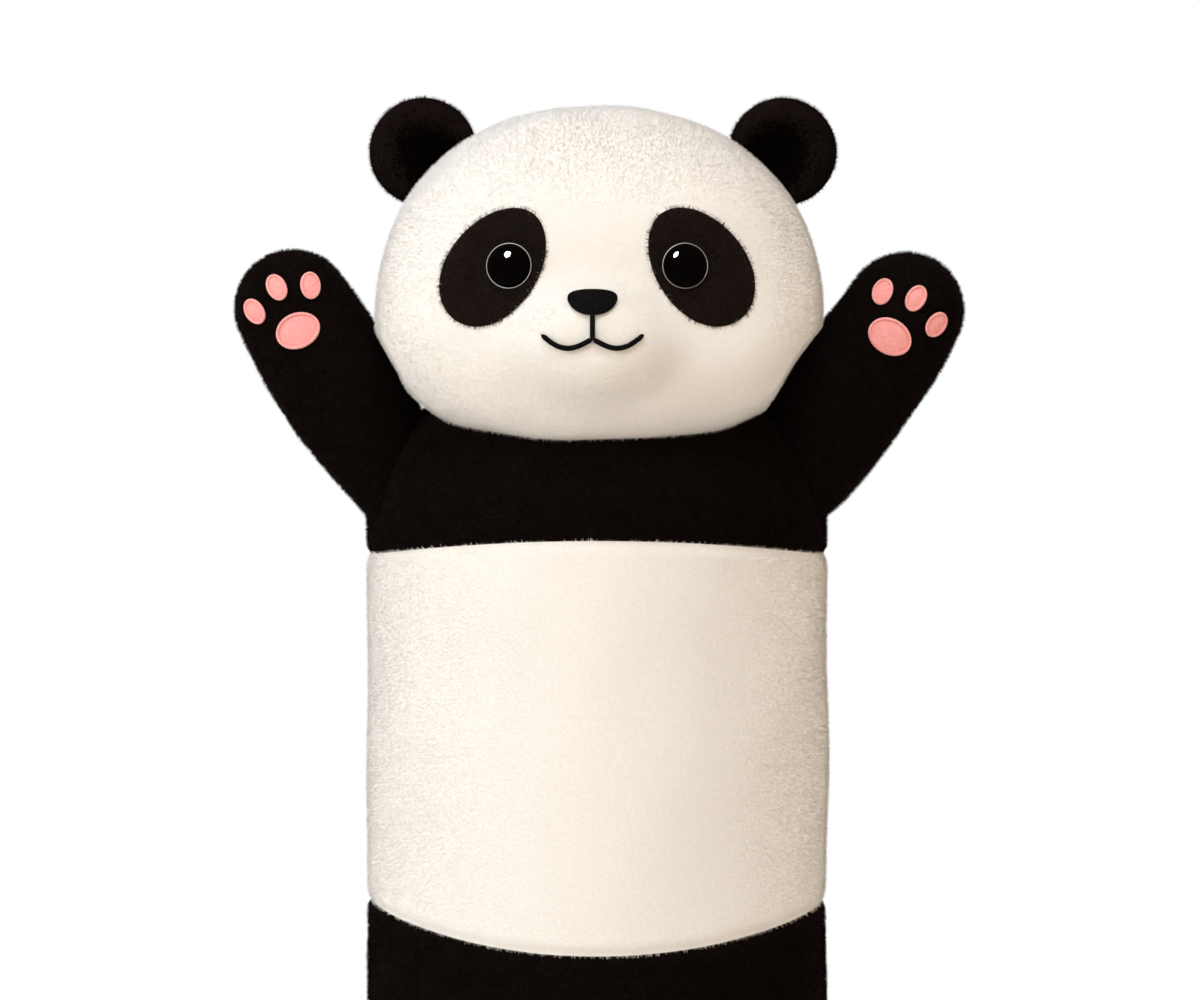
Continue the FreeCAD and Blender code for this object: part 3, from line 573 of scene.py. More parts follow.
def dent_depth(points, inward, gap=0.0004):
    """How far points move inward to clear both raised arms, so that the head never hides an arm."""
    moved = np.zeros(len(points))
    for side in (1.0, -1.0):
        lean = side * ARM_LEAN[side]
        axis = np.array([math.sin(lean), 0, math.cos(lean)])
        across = np.array([math.cos(lean), 0, -math.sin(lean)])
        for _ in range(8):
            offset = points + inward * moved[:, None] - SHOULDER[side]
            along = np.clip(offset @ axis, 0, ARM_LENGTH + 0.02)
            gone = offset - along[:, None] * axis - arm_shift(along, side)[:, None] * across
            gone[:, 1] = np.maximum(gone[:, 1], 0)
            moved += np.maximum(arm_radius(along, side) + gap - np.linalg.norm(gone, axis=1), 0) * 0.6
    return np.minimum(moved, 0.03)


def head_rows(around=400, rings=230):
    """Rings of the head from chin to crown: a bun with a muzzle, eye sockets and dents beside the arms."""
    angle = turns(around)
    found = []
    for tilt in np.linspace(-math.pi / 2 + 0.02, math.pi / 2 - 0.02, rings):
        level_way = np.stack([np.sin(angle), -np.cos(angle)], axis=1) * math.cos(tilt)
        way = np.column_stack([level_way, np.full(around, math.sin(tilt))])
        front = np.clip(np.cos(angle), 0, 1)
        tall, power = (HEAD_TALL, 2.25) if tilt > 0 else (0.0612 + 0.0100 * front, 2.1)
        square = 2.25 + 1.65 * smooth(np.clip((1.0 - tilt) / 1.4, 0, 1))
        outline = (np.abs(way[:, 0] / HEAD_HALF) ** power + np.abs(way[:, 2] / tall) ** power) ** (1 / power)
        reach = (outline**square + np.abs(way[:, 1] / HEAD_DEEP) ** square) ** (-1 / square)
        found.append(HEAD_MIDDLE + way * reach[:, None])
    found = np.array(found)
    along = np.gradient(found, axis=0)
    across = np.roll(found, -1, axis=1) - np.roll(found, 1, axis=1)
    out = unit(np.cross(across, along))
    rings_out = []
    for ring, away in zip(found, out):
        x, z = ring[:, 0], ring[:, 2]
        front = np.clip((HEAD_Y - ring[:, 1]) / 0.05, 0, 1)
        muzzle = np.hypot((x - FACE_SHIFT) / MUZZLE_HALF, (z - MUZZLE_HEIGHT) / MUZZLE_TALL)
        swell = 0.0170 * np.exp(-(muzzle**4.0)) * front
        for side in (1.0, -1.0):
            socket = ((x - side * 0.043) / 0.016) ** 2 + ((z - 0.544) / 0.016) ** 2
            swell -= 0.0016 * np.exp(-socket) * front
        swell += 0.0006 * waves(ring, 21, 0.05)
        moved = ring + away * swell[:, None]
        rings_out.append(moved - away * dent_depth(moved, -away)[:, None])
    return np.array(rings_out)


head = grid("head_plush", head_rows(), WHITE_SKIN, start_pole=True, end_pole=True)
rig.replaces(head, "head_front_panel", "head_back_panel", "head_stuffing")
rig.padded(head, fill=0.95)
bpy.context.view_layer.update()


def on_face(x, z, lift=0.0):
    """Points on the front of the head at side offsets and heights, and the outward normals there."""
    x, z = np.broadcast_arrays(np.asarray(x, float), np.asarray(z, float))
    found, normals = [], []
    for px, pz in zip(x.ravel(), z.ravel()):
        hit, place, normal, _ = head.ray_cast(Vector((px, -0.4, pz)), Vector((0, 1, 0)))
        found.append(np.array(place) + np.array(normal) * lift if hit else (px, -0.1, pz))
        normals.append(normal if hit else (0, -1, 0))
    return np.array(found).reshape(*x.shape, 3), np.array(normals).reshape(*x.shape, 3)


def patch_frame(side):
    """The middle of an eye patch and the directions of its short and long axes, in x and z."""
    middle = PATCH_MIDDLE * np.array([side, 1])
    long_way = np.array([-side * math.sin(PATCH_LEAN), math.cos(PATCH_LEAN)])
    return middle, np.array([long_way[1], -long_way[0]]), long_way


def patch_outline(side, count=120):
    """An eye patch's outline in x and z: an ellipse that is fuller at its low outer end."""
    middle, short_way, long_way = patch_frame(side)
    turn = turns(count)[:, None]
    width = PATCH_SHORT * (1 - PATCH_TAPER * np.cos(turn))
    return middle, middle + short_way * np.sin(turn) * width + long_way * np.cos(turn) * PATCH_LONG


def face_patch(name, middle, outline, material, lift, dome=0.0, rings=10):
    """A piece lying on the face inside an outline in x and z, raised by lift and by a dome in the middle."""
    rows = []
    for share in np.linspace(1, 0.06, rings):
        flat = middle + (outline - middle) * share
        placed, normals = on_face(flat[:, 0], flat[:, 1])
        height = lift + dome * (1 - share**2)
        rows.append(placed + normals * height)
    rows.insert(0, rows[0] + (rows[0] - rows[1]) * 0.02 + np.array([0, 0.0016, 0]))
    return grid(name, np.array(rows), material, end_pole=True)


patches = {}
for side_name, side in SIDES:
    middle, outline = patch_outline(side)
    patch = face_patch(f"{side_name}_eye_patch_plush", middle, outline[::-1], DARK_SKIN, 0.0005, rings=16)
    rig.replaces(patch, f"{side_name}_eye_patch")
    patches[side] = patch


def in_patch(roots, side):
    """Which points lie inside an eye patch seen from the front, with a soft edge."""
    middle, short_way, long_way = patch_frame(side)
    flat = roots[:, [0, 2]] - middle + np.random.default_rng(31).normal(size=(len(roots), 2)) * 0.0007
    up = flat @ long_way / PATCH_LONG
    across = flat @ short_way / (PATCH_SHORT * (1 - PATCH_TAPER * up))
    return (up**2 + across**2 < 1) & (roots[:, 1] < HEAD_Y)


def build_eye(side_name, side):
    """A glossy dome with a thin edge ring, set into the patch; the ring's pale brown is a painted highlight for the
    glint along the eye's edge.
    """
    place, normal = on_face([side * EYE_ACROSS], [EYE_HEIGHT])
    place, normal = place[0], unit(normal[0] * np.array([0.8, 1, 0.6]))
    turn = Vector(normal).to_track_quat("Z", "Y").to_matrix().to_4x4()
    frame_matrix = Matrix.Translation(Vector(place)) @ turn
    angle = turns(72)

    def lathe(name, profile, material):
        rows = np.array([[(r * math.cos(a), r * math.sin(a), z) for a in angle] for r, z in profile])
        made = grid(name, rows, material, end_pole=profile[-1][0] < 0.002)
        made.data.transform(frame_matrix)
        return made

    dome = [(EYE_RADIUS, -0.003)]
    dome += [
        (EYE_RADIUS * math.cos(t), 0.0016 + 0.0050 * math.sin(t))
        for t in np.linspace(0, math.pi / 2 * 0.97, 22)
    ]
    eye = lathe(f"{side_name}_eye_dome", dome, EYE)
    # A thin plastic ring at the eye's edge, its pale colour a painted highlight for the glint there.
    ring = [
        (EYE_RADIUS + 0.0002 + 0.00032 * math.cos(t), 0.0020 + 0.0005 * math.sin(t))
        for t in np.linspace(-0.6, math.pi + 0.6, 14)
    ]
    rim = lathe(f"{side_name}_eye_edge", ring, RIM_PAINTED_GLINT)
    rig.replaces(eye, f"{side_name}_eye")
    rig.replaces(rim, f"{side_name}_eye_rim")
    settle([eye], "eye_plastic", "torso")
    settle([rim], "rim_plastic", "torso")


for side_name, side in SIDES:
    build_eye(side_name, side)


def satin(material, scale):
    """Adds parallel thread ridges to a stitched material."""
    nodes, links = material.node_tree.nodes, material.node_tree.links
    coords = nodes.new("ShaderNodeTexCoord")
    ridges = nodes.new("ShaderNodeTexWave")
    ridges.bands_direction = "X"
    ridges.inputs["Scale"].default_value = scale
    ridges.inputs["Distortion"].default_value = 1.5
    ridges.inputs["Detail"].default_value = 1
    bump = nodes.new("ShaderNodeBump")
    bump.inputs["Strength"].default_value = 0.8
    bump.inputs["Distance"].default_value = 0.0005
    links.new(coords.outputs["Object"], ridges.inputs["Vector"])
    links.new(ridges.outputs["Fac"], bump.inputs["Height"])
    links.new(bump.outputs["Normal"], nodes["Principled BSDF"].inputs["Normal"])


NOSE_SATIN = STITCH.copy()
satin(NOSE_SATIN, 400)


def nose_outline(count=72):
    """A wide nose with a nearly flat top, round shoulders and a soft point below."""
    half, z = 0.0128, 0.5252
    outline = []
    for turn in turns(count):
        s, c = math.sin(turn), math.cos(turn)
        x = half * math.copysign(abs(s) ** 0.8, s) * (1 - 0.18 * (0.5 - c / 2))
        tall = 0.0052 if c > 0 else 0.0070
        outline.append((x, z + tall * math.copysign(abs(c) ** (0.75 if c > 0 else 1.1), c)))
    return np.array([FACE_SHIFT, z]), np.array(outline) + np.array([FACE_SHIFT, 0])


nose = face_patch("nose_satin", *nose_outline(), NOSE_SATIN, 0.0014, dome=0.0022)
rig.replaces(nose, "nose")
settle([nose], "embroidery", "torso")


def stitched_line(name, flat_points, radius, lift):
    """A raised cord of satin stitch along points of the face, with round ends."""
    placed, normals = on_face(flat_points[:, 0], flat_points[:, 1])
    centre = placed + normals * lift
    along = unit(np.gradient(centre, axis=0))
    across = unit(np.cross(along, normals))
    out = np.cross(across, along)
    rows = []
    for i in range(len(centre)):
        edge = min(i, len(centre) - 1 - i)
        swell = math.sqrt(1 - (1 - min(edge / 3, 1)) ** 2 * 0.96)
        rows.append(
            [
                centre[i]
                + across[i] * math.cos(a) * radius * swell
                + out[i] * math.sin(a) * radius * 0.8 * swell
                for a in turns(14)
            ]
        )
    return grid(name, np.array(rows), NOSE_SATIN, True, True)


def mouth_curve(side):
    """One half of the mouth, from the middle under the nose: it hangs, then rises to the corner."""
    t = np.linspace(0, 1, 40)
    x = FACE_SHIFT + side * 0.0240 * t
    z = 0.5070 - 0.0085 * t + 0.0016 * t**2 * (1 - t) - 0.0021 * np.sin(math.pi * t) ** 1.2 + 0.0106 * t**2.6
    return np.stack([x, z], axis=1)


mouth_parts = [stitched_line(f"mouth_{n}", mouth_curve(k), STITCH_RADIUS, 0.0014) for n, k in SIDES]
philtrum = np.stack([np.full(20, FACE_SHIFT), np.linspace(0.5195, 0.5062, 20)], axis=1)
mouth_parts.append(stitched_line("mouth_philtrum", philtrum, STITCH_RADIUS, 0.0014))
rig.replaces(mouth_parts[0], "mouth_stitching")
settle(mouth_parts, "embroidery", "torso")


# ---------------------------------------------------------------- ears


def hollow_share(across, up):
    """The depth of an ear's hollow, 0 to 1, at a place given in ear radii from the ear's middle."""
    return np.exp(-(np.hypot(across / 0.55, (up + 0.35) / 0.75) ** 2.6))


def ear_rows(side):
    """Rings of an ear from the middle of its dished front, over the rim, to the middle of its back."""
    angle = turns(120)
    rows = []
    for share in np.linspace(0.04, 1, 26):
        thick = EAR_HALF * (1 - share**2.6) ** 0.5
        across, up = np.sin(angle) * share, np.cos(angle) * share
        dish = 0.0180 * hollow_share(across, up) * (1 - share**6)
        rows.append(np.stack([across * EAR_RADIUS, dish - thick, up * EAR_RADIUS], axis=1))
    for share in np.linspace(1, 0.04, 26)[1:]:
        thick = EAR_HALF * (1 - share**2.4) ** 0.5
        across, up = np.sin(angle) * EAR_RADIUS * share, np.cos(angle) * EAR_RADIUS * share
        rows.append(np.stack([across, thick + 0 * angle, up], axis=1))
    rows = np.array(rows)
    rows[..., 2] += EAR_RISE
    lean = side * EAR_LEAN
    across = rows[..., 0] * math.cos(lean) + rows[..., 2] * math.sin(lean)
    up = -rows[..., 0] * math.sin(lean) + rows[..., 2] * math.cos(lean)
    return np.stack([across, rows[..., 1], up], axis=-1) + EAR_BASE[side]


def ear_hollow(points, side):
    """How deep in the hollow of an ear points lie: 1 at its bottom, 0 on the rim and the back. It sets where the ear's
    hollow gets painted shade.
    """
    lean = side * EAR_LEAN
    local = points - EAR_BASE[side]
    across = (local[:, 0] * math.cos(lean) - local[:, 2] * math.sin(lean)) / EAR_RADIUS
    up = (local[:, 0] * math.sin(lean) + local[:, 2] * math.cos(lean) - EAR_RISE) / EAR_RADIUS
    return hollow_share(across, up) * (local[:, 1] < 0.009)


for side_name, side in SIDES:
    ear = grid(f"{side_name}_ear_plush", ear_rows(side), EAR_SKIN, True, True)
    # The hollow's faces take the darker cloth: painted shade in the recess.
    ear.data.materials.append(HOLLOW_PAINTED_SHADE)
    centres = np.array([tuple(face.center) for face in ear.data.polygons])
    jitter = np.random.default_rng(37).normal(size=len(centres)) * 0.12
    hollow = ear_hollow(centres, side) + jitter > 0.3
    ear.data.polygons.foreach_set("material_index", hollow.astype(np.int32))
    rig.replaces(ear, f"{side_name}_ear_front_panel", f"{side_name}_ear_back_panel", f"{side_name}_ear_filling")
    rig.padded(ear, fill=0.7)
    up = np.array([side * math.sin(EAR_LEAN), 0, math.cos(EAR_LEAN)])

    def out_of_head(roots, outward, up=up, side=side):
        return (roots - EAR_BASE[side]) @ up > -0.002

    # The ear's pile outside the hollow takes lighter tints, painted light on the rim, and the hollow the darkest,
    # painted shade.
    hair = pile(
        f"{side_name}_ear_pile",
        ear,
        [PATCH_PILE[2], BLACK_PILE[1], BLACK_PILE[0], BLACK_PILE[2]],
        300 + int(side),
        keep=out_of_head,
        length=LIMB_PILE,
        comb=(0, 0, 0),
        nap=BLACK_NAP,
        shade=lambda roots, side=side: 2.5 * ear_hollow(roots, side),
    )
    bend = ("torso", f"{side_name}_ear", EAR_BASE[side] - up * 0.006, EAR_BASE[side] + up * 0.004)
    settle([ear, *hair], "black_plush", bend=bend)


# ---------------------------------------------------------------- arms


def limb_frame(side):
    """Axes of an arm: across, front-to-back and along it."""
    lean = side * ARM_LEAN[side]
    return np.array([[math.cos(lean), 0, -math.sin(lean)], [0, 1, 0], [math.sin(lean), 0, math.cos(lean)]])


def arm_point(side, across, along, lift=0.0):
    """The front of an arm at a place given across and along it, and the outward normal there."""
    over = max(along - ARM_LENGTH, 0.0)
    radius = float(arm_radius(min(along, ARM_LENGTH), side))
    reach = math.sqrt(max(radius**2 - over**2 - across**2, 1e-9))
    normal = np.array([across, -reach, over]) / radius
    local = np.array([across + float(arm_shift(along, side)), -reach, along]) + normal * lift
    axes = limb_frame(side)
    return local @ axes + SHOULDER[side], normal @ axes


def pad_outline(count, width, height, turn):
    """An ellipse of points round the origin, turned by an angle."""
    angle = turns(count)
    flat = np.stack([np.sin(angle) * width / 2, np.cos(angle) * height / 2], axis=1)
    return flat @ np.array([[math.cos(turn), -math.sin(turn)], [math.sin(turn), math.cos(turn)]])


def satin_ring(place, out, normal, i):
    """One ring of a pad's satin edge. Stitches are thick and thin in turn."""
    swell = 0.00075 * (1 + 0.22 * (i % 2))
    return [place + out * math.cos(a) * swell + normal * math.sin(a) * swell for a in turns(8)]


def inside_pads(x, z, groups):
    """Which points of a flat lie inside pads: ellipses given by place, width, height and turn."""
    inside = np.zeros(len(x), bool)
    for pads in groups.values():
        for across, up, width, height, turn in pads:
            dx, dz = x - across, z - up
            a = dx * math.cos(turn) - dz * math.sin(turn)
            b = dx * math.sin(turn) + dz * math.cos(turn)
            inside |= (a / (width / 2)) ** 2 + (b / (height / 2)) ** 2 < 1
    return inside


def arm_pad(name, side, across, along, width, height, turn):
    """A pink pad with a satin edge on the front of an arm."""
    flat = pad_outline(64, width, height, turn)
    rows, edge = [], []
    for share in np.linspace(1, 0.05, 8):
        lift = 0.0010 + 0.0010 * (1 - share**2)
        rows.append([arm_point(side, across + p[0] * share, along + p[1] * share, lift)[0] for p in flat])
    sunk = [arm_point(side, across + p[0], along + p[1], -0.0006)[0] for p in flat]
    pad = grid(name, np.array([sunk, *rows]), PINK_SKIN, end_pole=True)
    for i, (p, q) in enumerate(zip(flat, np.roll(flat, -1, axis=0))):
        place, normal = arm_point(side, across + p[0], along + p[1], 0.0013)
        following = arm_point(side, across + q[0], along + q[1], 0.0013)[0]
        edge.append(satin_ring(place, np.cross(normal, unit(following - place)), normal, i))
    return [pad, grid(f"{name}_edge", np.array([*edge, edge[0]]), PINK_EDGE)]


PADS = {
    1.0: {
        "palm_pad": [(-0.0008, -0.0190, 0.0206, 0.0164, 0.04)],
        "finger_pads": [
            (-0.0156, -0.0014, 0.0080, 0.0122, -0.20),
            (-0.0004, 0.0044, 0.0080, 0.0122, -0.04),
            (0.0150, -0.0008, 0.0080, 0.0122, 0.10),
        ],
    },
    -1.0: {
        "palm_pad": [(-0.0024, -0.0146, 0.0206, 0.0164, 0.20)],
        "finger_pads": [
            (-0.0158, 0.0054, 0.0080, 0.0122, -0.10),
            (-0.0004, 0.0095, 0.0080, 0.0122, 0.05),
            (0.0140, 0.0019, 0.0080, 0.0122, 0.40),
        ],
    },
}


def in_pads(roots, side):
    """Which points on an arm lie under its pads."""
    local = (roots - SHOULDER[side]) @ limb_frame(side).T
    x = local[:, 0] - arm_shift(local[:, 2], side)
    return inside_pads(x, local[:, 2] - ARM_LENGTH, PADS[side]) & (local[:, 1] < 0)


def arm_rings(side):
    """Rings of an arm from its rounded root to the tip of its hand, a little uneven."""
    root = ARM_PROFILE[side][0]
    stations = [
        (ARM_ROOT - root * 0.6 * math.cos(t), root * math.sin(t)) for t in np.linspace(0.04, math.pi / 2, 16)
    ]
    middle = np.linspace(ARM_ROOT, ARM_LENGTH, 56)[1:-1]
    stations += [(along, float(arm_radius(along, side))) for along in middle]
    stations += [
        (ARM_LENGTH + HAND_RADIUS * math.sin(t), (HAND_RADIUS + 0.0007 * math.cos(t)) * math.cos(t))
        for t in np.linspace(0, math.pi / 2 - 0.04, 26)
    ]
    angle = turns(128)
    rows = []
    for along, radius in stations:
        ring = np.stack([np.sin(angle) * radius, -np.cos(angle) * radius, np.full(len(angle), along)], axis=1)
        place = ring @ limb_frame(side) + SHOULDER[side]
        ring[:, :2] *= (1 + 0.008 * waves(place, 40 + int(side), 0.05))[:, None]
        ring[:, 0] += arm_shift(along, side)
        rows.append(ring @ limb_frame(side) + SHOULDER[side])
    return np.array(rows)


for side_name, side in SIDES:
    arm = grid(f"{side_name}_arm_plush", arm_rings(side), BLACK_SKIN, True, True)
    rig.replaces(arm, f"{side_name}_arm_front_panel", f"{side_name}_arm_back_panel", f"{side_name}_arm_stuffing")
    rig.padded(arm, fill=0.85)
    hair = pile(
        f"{side_name}_arm_pile",
        arm,
        BLACK_PILE,
        500 + int(side),
        keep=lambda roots, outward, side=side: ~in_pads(roots, side),
        length=LIMB_PILE,
        comb=(0, 0, -0.3),
        nap=BLACK_NAP,
    )
    way = limb_frame(side)[2]
    bend = ("torso", f"{side_name}_arm", SHOULDER[side] - way * 0.01, SHOULDER[side] + way * 0.02)
    settle([arm, *hair], "black_plush", bend=bend)
    for name, pads in PADS[side].items():
        made = []
        for i, (across, up, width, height, turn) in enumerate(pads):
            made += arm_pad(f"{side_name}_{name}_{i}", side, across, ARM_LENGTH + up, width, height, turn)
        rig.replaces(made[0], f"{side_name}_{name}")
        settle(made, "pink_plush", f"{side_name}_arm")


# ---------------------------------------------------------------- feet


def leg_axes(side):
    """Axes of a foot: across, up and along it, as rows."""
    along = np.array([side * math.sin(LEG_SPLAY), -math.cos(LEG_SPLAY), 0])
    up = np.array([0, 0, 1.0])
    return np.array([np.cross(up, along), up, along])


def sole_pad(name, side, across, up, width, height, turn):
    """A pink pad with a satin edge on a sole."""
    axes = leg_axes(side)
    centre = HIP[side] + axes[0] * across + axes[1] * up + axes[2] * (LEG_LENGTH - 0.0002)
    flat = pad_outline(56, width, height, turn)
    rows = [[centre + axes[0] * p[0] + axes[1] * p[1] - axes[2] * 0.001 for p in flat]]
    for share in np.linspace(1, 0.05, 8):
        lift = 0.0014 + 0.0012 * (1 - share**2)
        rows.append([centre + (axes[0] * p[0] + axes[1] * p[1]) * share + axes[2] * lift for p in flat])
    pad = grid(name, np.array(rows), PINK_SKIN, end_pole=True)
    edge = []
    for i, p in enumerate(flat):
        out = unit(axes[0] * p[0] + axes[1] * p[1])
        place = centre + axes[0] * p[0] + axes[1] * p[1] + axes[2] * 0.0016
        edge.append(satin_ring(place, out, axes[2], i))
    return [pad, grid(f"{name}_edge", np.array([*edge, edge[0]]), PINK_EDGE)]


SOLE_PADS = {
    "sole_pad": [(0.0, -0.0070, 0.0300, 0.0220, 0.0)],
    "toe_pads": [
        (-0.0170, 0.0095, 0.0096, 0.0120, -0.49),
        (0.0, 0.0165, 0.0096, 0.0120, 0.0),
        (0.0170, 0.0095, 0.0096, 0.0120, 0.49),
    ],
}


def foot_rings(side):
    """Rings of a foot from its rounded root, over the edge of the sole, to the sole's middle."""
    axes = leg_axes(side)
    straight = LEG_LENGTH - SOLE_ROUND
    stations = [
        (-LEG_RADIUS * math.cos(t), LEG_RADIUS * math.sin(t)) for t in np.linspace(0.05, math.pi / 2, 16)
    ]
    stations += [(along, LEG_RADIUS) for along in np.linspace(0, straight, 26)[1:]]
    stations += [
        (straight + 0.0145 * math.sin(t), LEG_RADIUS - SOLE_ROUND + SOLE_ROUND * math.cos(t))
        for t in np.linspace(0.1, math.pi / 2, 14)
    ]
    stations += [(LEG_LENGTH - 0.0005 + 0.0004 * (1 - r / 0.02), r) for r in np.linspace(0.018, 0.002, 9)]
    angle = turns(144)
    rows = []
    for along, radius in stations:
        ring = np.stack([np.sin(angle) * radius, np.cos(angle) * radius, np.full(len(angle), along)], axis=1)
        place = ring @ axes + HIP[side]
        ring[:, :2] *= (1 - 0.006 + 0.014 * waves(place, 60 + int(side), 0.05))[:, None]
        rows.append(ring @ axes + HIP[side])
    return np.array(rows)[:, ::-1]


def clear_of_pads(roots, side):
    """Which points of a foot lie outside its pads and outside the tube."""
    local = (roots - HIP[side]) @ leg_axes(side).T
    on_sole = inside_pads(local[:, 0], local[:, 1], SOLE_PADS) & (local[:, 2] > LEG_LENGTH - 0.01)
    return ~on_sole & (np.hypot(roots[:, 0], roots[:, 1]) > BODY_RADIUS - 0.004)


for side_name, side in SIDES:
    axes = leg_axes(side)
    leg = grid(f"{side_name}_foot_plush", foot_rings(side), BLACK_SKIN, True, True)
    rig.replaces(leg, f"{side_name}_leg_cover", f"{side_name}_sole_panel", f"{side_name}_leg_stuffing")
    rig.padded(leg, fill=0.85)
    hair = pile(
        f"{side_name}_foot_pile",
        leg,
        BLACK_PILE,
        700 + int(side),
        keep=lambda roots, outward, side=side: clear_of_pads(roots, side),
        length=LIMB_PILE,
        nap=BLACK_NAP,
    )
    bend = ("torso", f"{side_name}_leg", HIP[side], HIP[side] + axes[2] * 0.03)
    settle([leg, *hair], "black_plush", bend=bend)
    for name, pads in SOLE_PADS.items():
        made = []
        for i, (across, up, width, height, turn) in enumerate(pads):
            made += sole_pad(f"{side_name}_{name}_{i}", side, across, up, width, height, turn)
        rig.replaces(made[0], f"{side_name}_{name}")
        settle(made, "pink_plush", f"{side_name}_leg")


# ---------------------------------------------------------------- pile of the tube and the head


def in_arm(roots, gap=-0.001):
    """Which points lie inside a raised arm."""
    inside = np.zeros(len(roots), bool)
    for side in (1.0, -1.0):
        axis = limb_frame(side)[2]
        along = np.clip((roots - SHOULDER[side]) @ axis, 0, ARM_LENGTH)
        across = arm_shift(along, side)[:, None] * limb_frame(side)[0]
        distance = np.linalg.norm(roots - SHOULDER[side] - along[:, None] * axis - across, axis=1)
        inside |= distance < arm_radius(along, side) + gap
    return inside


def in_leg(roots):
    """Which points lie inside a foot."""
    inside = np.zeros(len(roots), bool)
    for side in (1.0, -1.0):
        axis = leg_axes(side)[2]
        along = np.clip((roots - HIP[side]) @ axis, 0, LEG_LENGTH)
        distance = np.linalg.norm(roots - HIP[side] - along[:, None] * axis, axis=1)
        inside |= distance < LEG_RADIUS - 0.001
    return inside


def clear_of_eye(roots, side):
    """Which points of a patch lie outside its eye and the eye's rim."""
    return np.linalg.norm(roots[:, [0, 2]] - np.array([side * EYE_ACROSS, EYE_HEIGHT]), axis=1) > 0.0112


def upright(amount):
    """Combing directions that point up by an amount, or down if it is negative."""
    return np.stack([0 * amount, 0 * amount, amount], axis=1)


def belly_comb(roots):
    """The belly's pile lies downward, and reaches over the dark cloth on both sides of it."""
    over_top = np.exp(-(((chest_seam(roots[:, 0]) - roots[:, 2]) / 0.0025) ** 2))
    over_bottom = np.exp(-(((roots[:, 2] - hip_seam(roots[:, 0])) / 0.0025) ** 2))
    return upright(-0.35 + 1.5 * over_top - 1.0 * over_bottom)


def hip_comb(roots):
    """The hips' pile lies downward, and lies flat beside the seam so that the white pile covers it."""
    near = np.exp(-(((hip_seam(roots[:, 0]) - roots[:, 2]) / 0.004) ** 2))
    return upright(-0.3 - 1.2 * near)


def chest_comb(roots):
    """The chest's pile lies downward, but turns up beside the seam."""
    near = np.exp(-(((roots[:, 2] - chest_seam(roots[:, 0])) / 0.004) ** 2))
    return upright(-0.35 + 1.8 * near)


def head_comb(roots):
    """The head's pile lies downward, and most of all under the chin."""
    return upright(-0.25 - 0.8 * (roots[:, 2] < 0.48))


def edge_comb(roots, side):
    """The pile of an eye patch lies outward near its edge, over the white pile around it."""
    middle, short_way, long_way = patch_frame(side)
    flat = roots[:, [0, 2]] - middle
    reach = np.hypot(flat @ long_way / PATCH_LONG, flat @ short_way / PATCH_SHORT)
    spread = unit(flat) * (0.9 * np.clip(reach, 0, 1) ** 6)[:, None]
    return np.stack([spread[:, 0], 0 * reach, spread[:, 1] - 0.15], axis=1)


def muzzle_painted_shade(roots):
    """Painted shade: a slightly darker tone in the fold below the muzzle and beside it on the toy's left."""
    across, up = (roots[:, 0] - FACE_SHIFT) / MUZZLE_HALF, (roots[:, 2] - MUZZLE_HEIGHT) / MUZZLE_TALL
    ring = np.exp(-(((np.hypot(across, up) - 1.06) / 0.13) ** 2))
    side = np.clip(0.55 * across - 0.85 * up, 0, 1)
    return 0.4 * ring * side * (roots[:, 1] < HEAD_Y)


white_hair = pile(
    "belly_pile",
    belly,
    WHITE_PILE,
    11,
    keep=lambda roots, outward: ~in_leg(roots),
    comb=belly_comb,
    casts=False,
)
# The head's pile gets painted shade in the fold round the muzzle.
white_hair += pile(
    "head_pile",
    head,
    [*WHITE_PILE, PAINTED_SHADE_PILE],
    13,
    keep=lambda roots, outward: ~(in_patch(roots, 1.0) | in_patch(roots, -1.0) | in_arm(roots, 0.0)),
    comb=head_comb,
    shade=muzzle_painted_shade,
    casts=False,
)
black_hair = pile(
    "chest_pile",
    chest,
    BLACK_PILE,
    15,
    keep=lambda roots, outward: ~in_arm(roots),
    comb=chest_comb,
    nap=BLACK_NAP,
)
black_hair += pile(
    "hip_pile",
    hips,
    BLACK_PILE,
    17,
    keep=lambda roots, outward: ~in_leg(roots) & (roots[:, 2] > 0.004),
    comb=hip_comb,
    nap=BLACK_NAP,
)
for side_name, side in SIDES:
    black_hair += pile(
        f"{side_name}_patch_pile",
        patches[side],
        PATCH_PILE,
        900 + int(side),
        keep=lambda roots, outward, side=side: clear_of_eye(roots, side),
        length=0.0022,
        comb=lambda roots, side=side: edge_comb(roots, side),
        nap=BLACK_NAP,
    )
settle([belly, head, *white_hair], "white_plush", "torso")
settle([chest, hips, base, *patches.values(), *black_hair], "black_plush", "torso")


# ---------------------------------------------------------------- back

LABEL_LOW, LABEL_HIGH = 0.079, 0.113
STITCH_LOW, STITCH_STEP = 0.130, 0.009

stitch_rows = []
for i in range(6):
    z = STITCH_LOW + i * STITCH_STEP
    centre = np.array([0, BODY_RADIUS + 0.0002, z])
    rows = []
    for share in np.linspace(-1, 1, 12):
        swell = 0.0006 * math.sqrt(max(1 - share**6, 0.02))
        middle = centre + np.array([share * 0.0032, 0.0016 * (1 - share**2), share * 0.0010])
        rows.append([middle + np.array([0, math.cos(a), math.sin(a)]) * swell for a in turns(8)])
    stitch_rows.append(grid(f"closing_stitch_{i}", np.array(rows), THREAD, True, True))
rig.replaces(stitch_rows[0], "closing_stitches")
settle(stitch_rows, "thread", "torso")

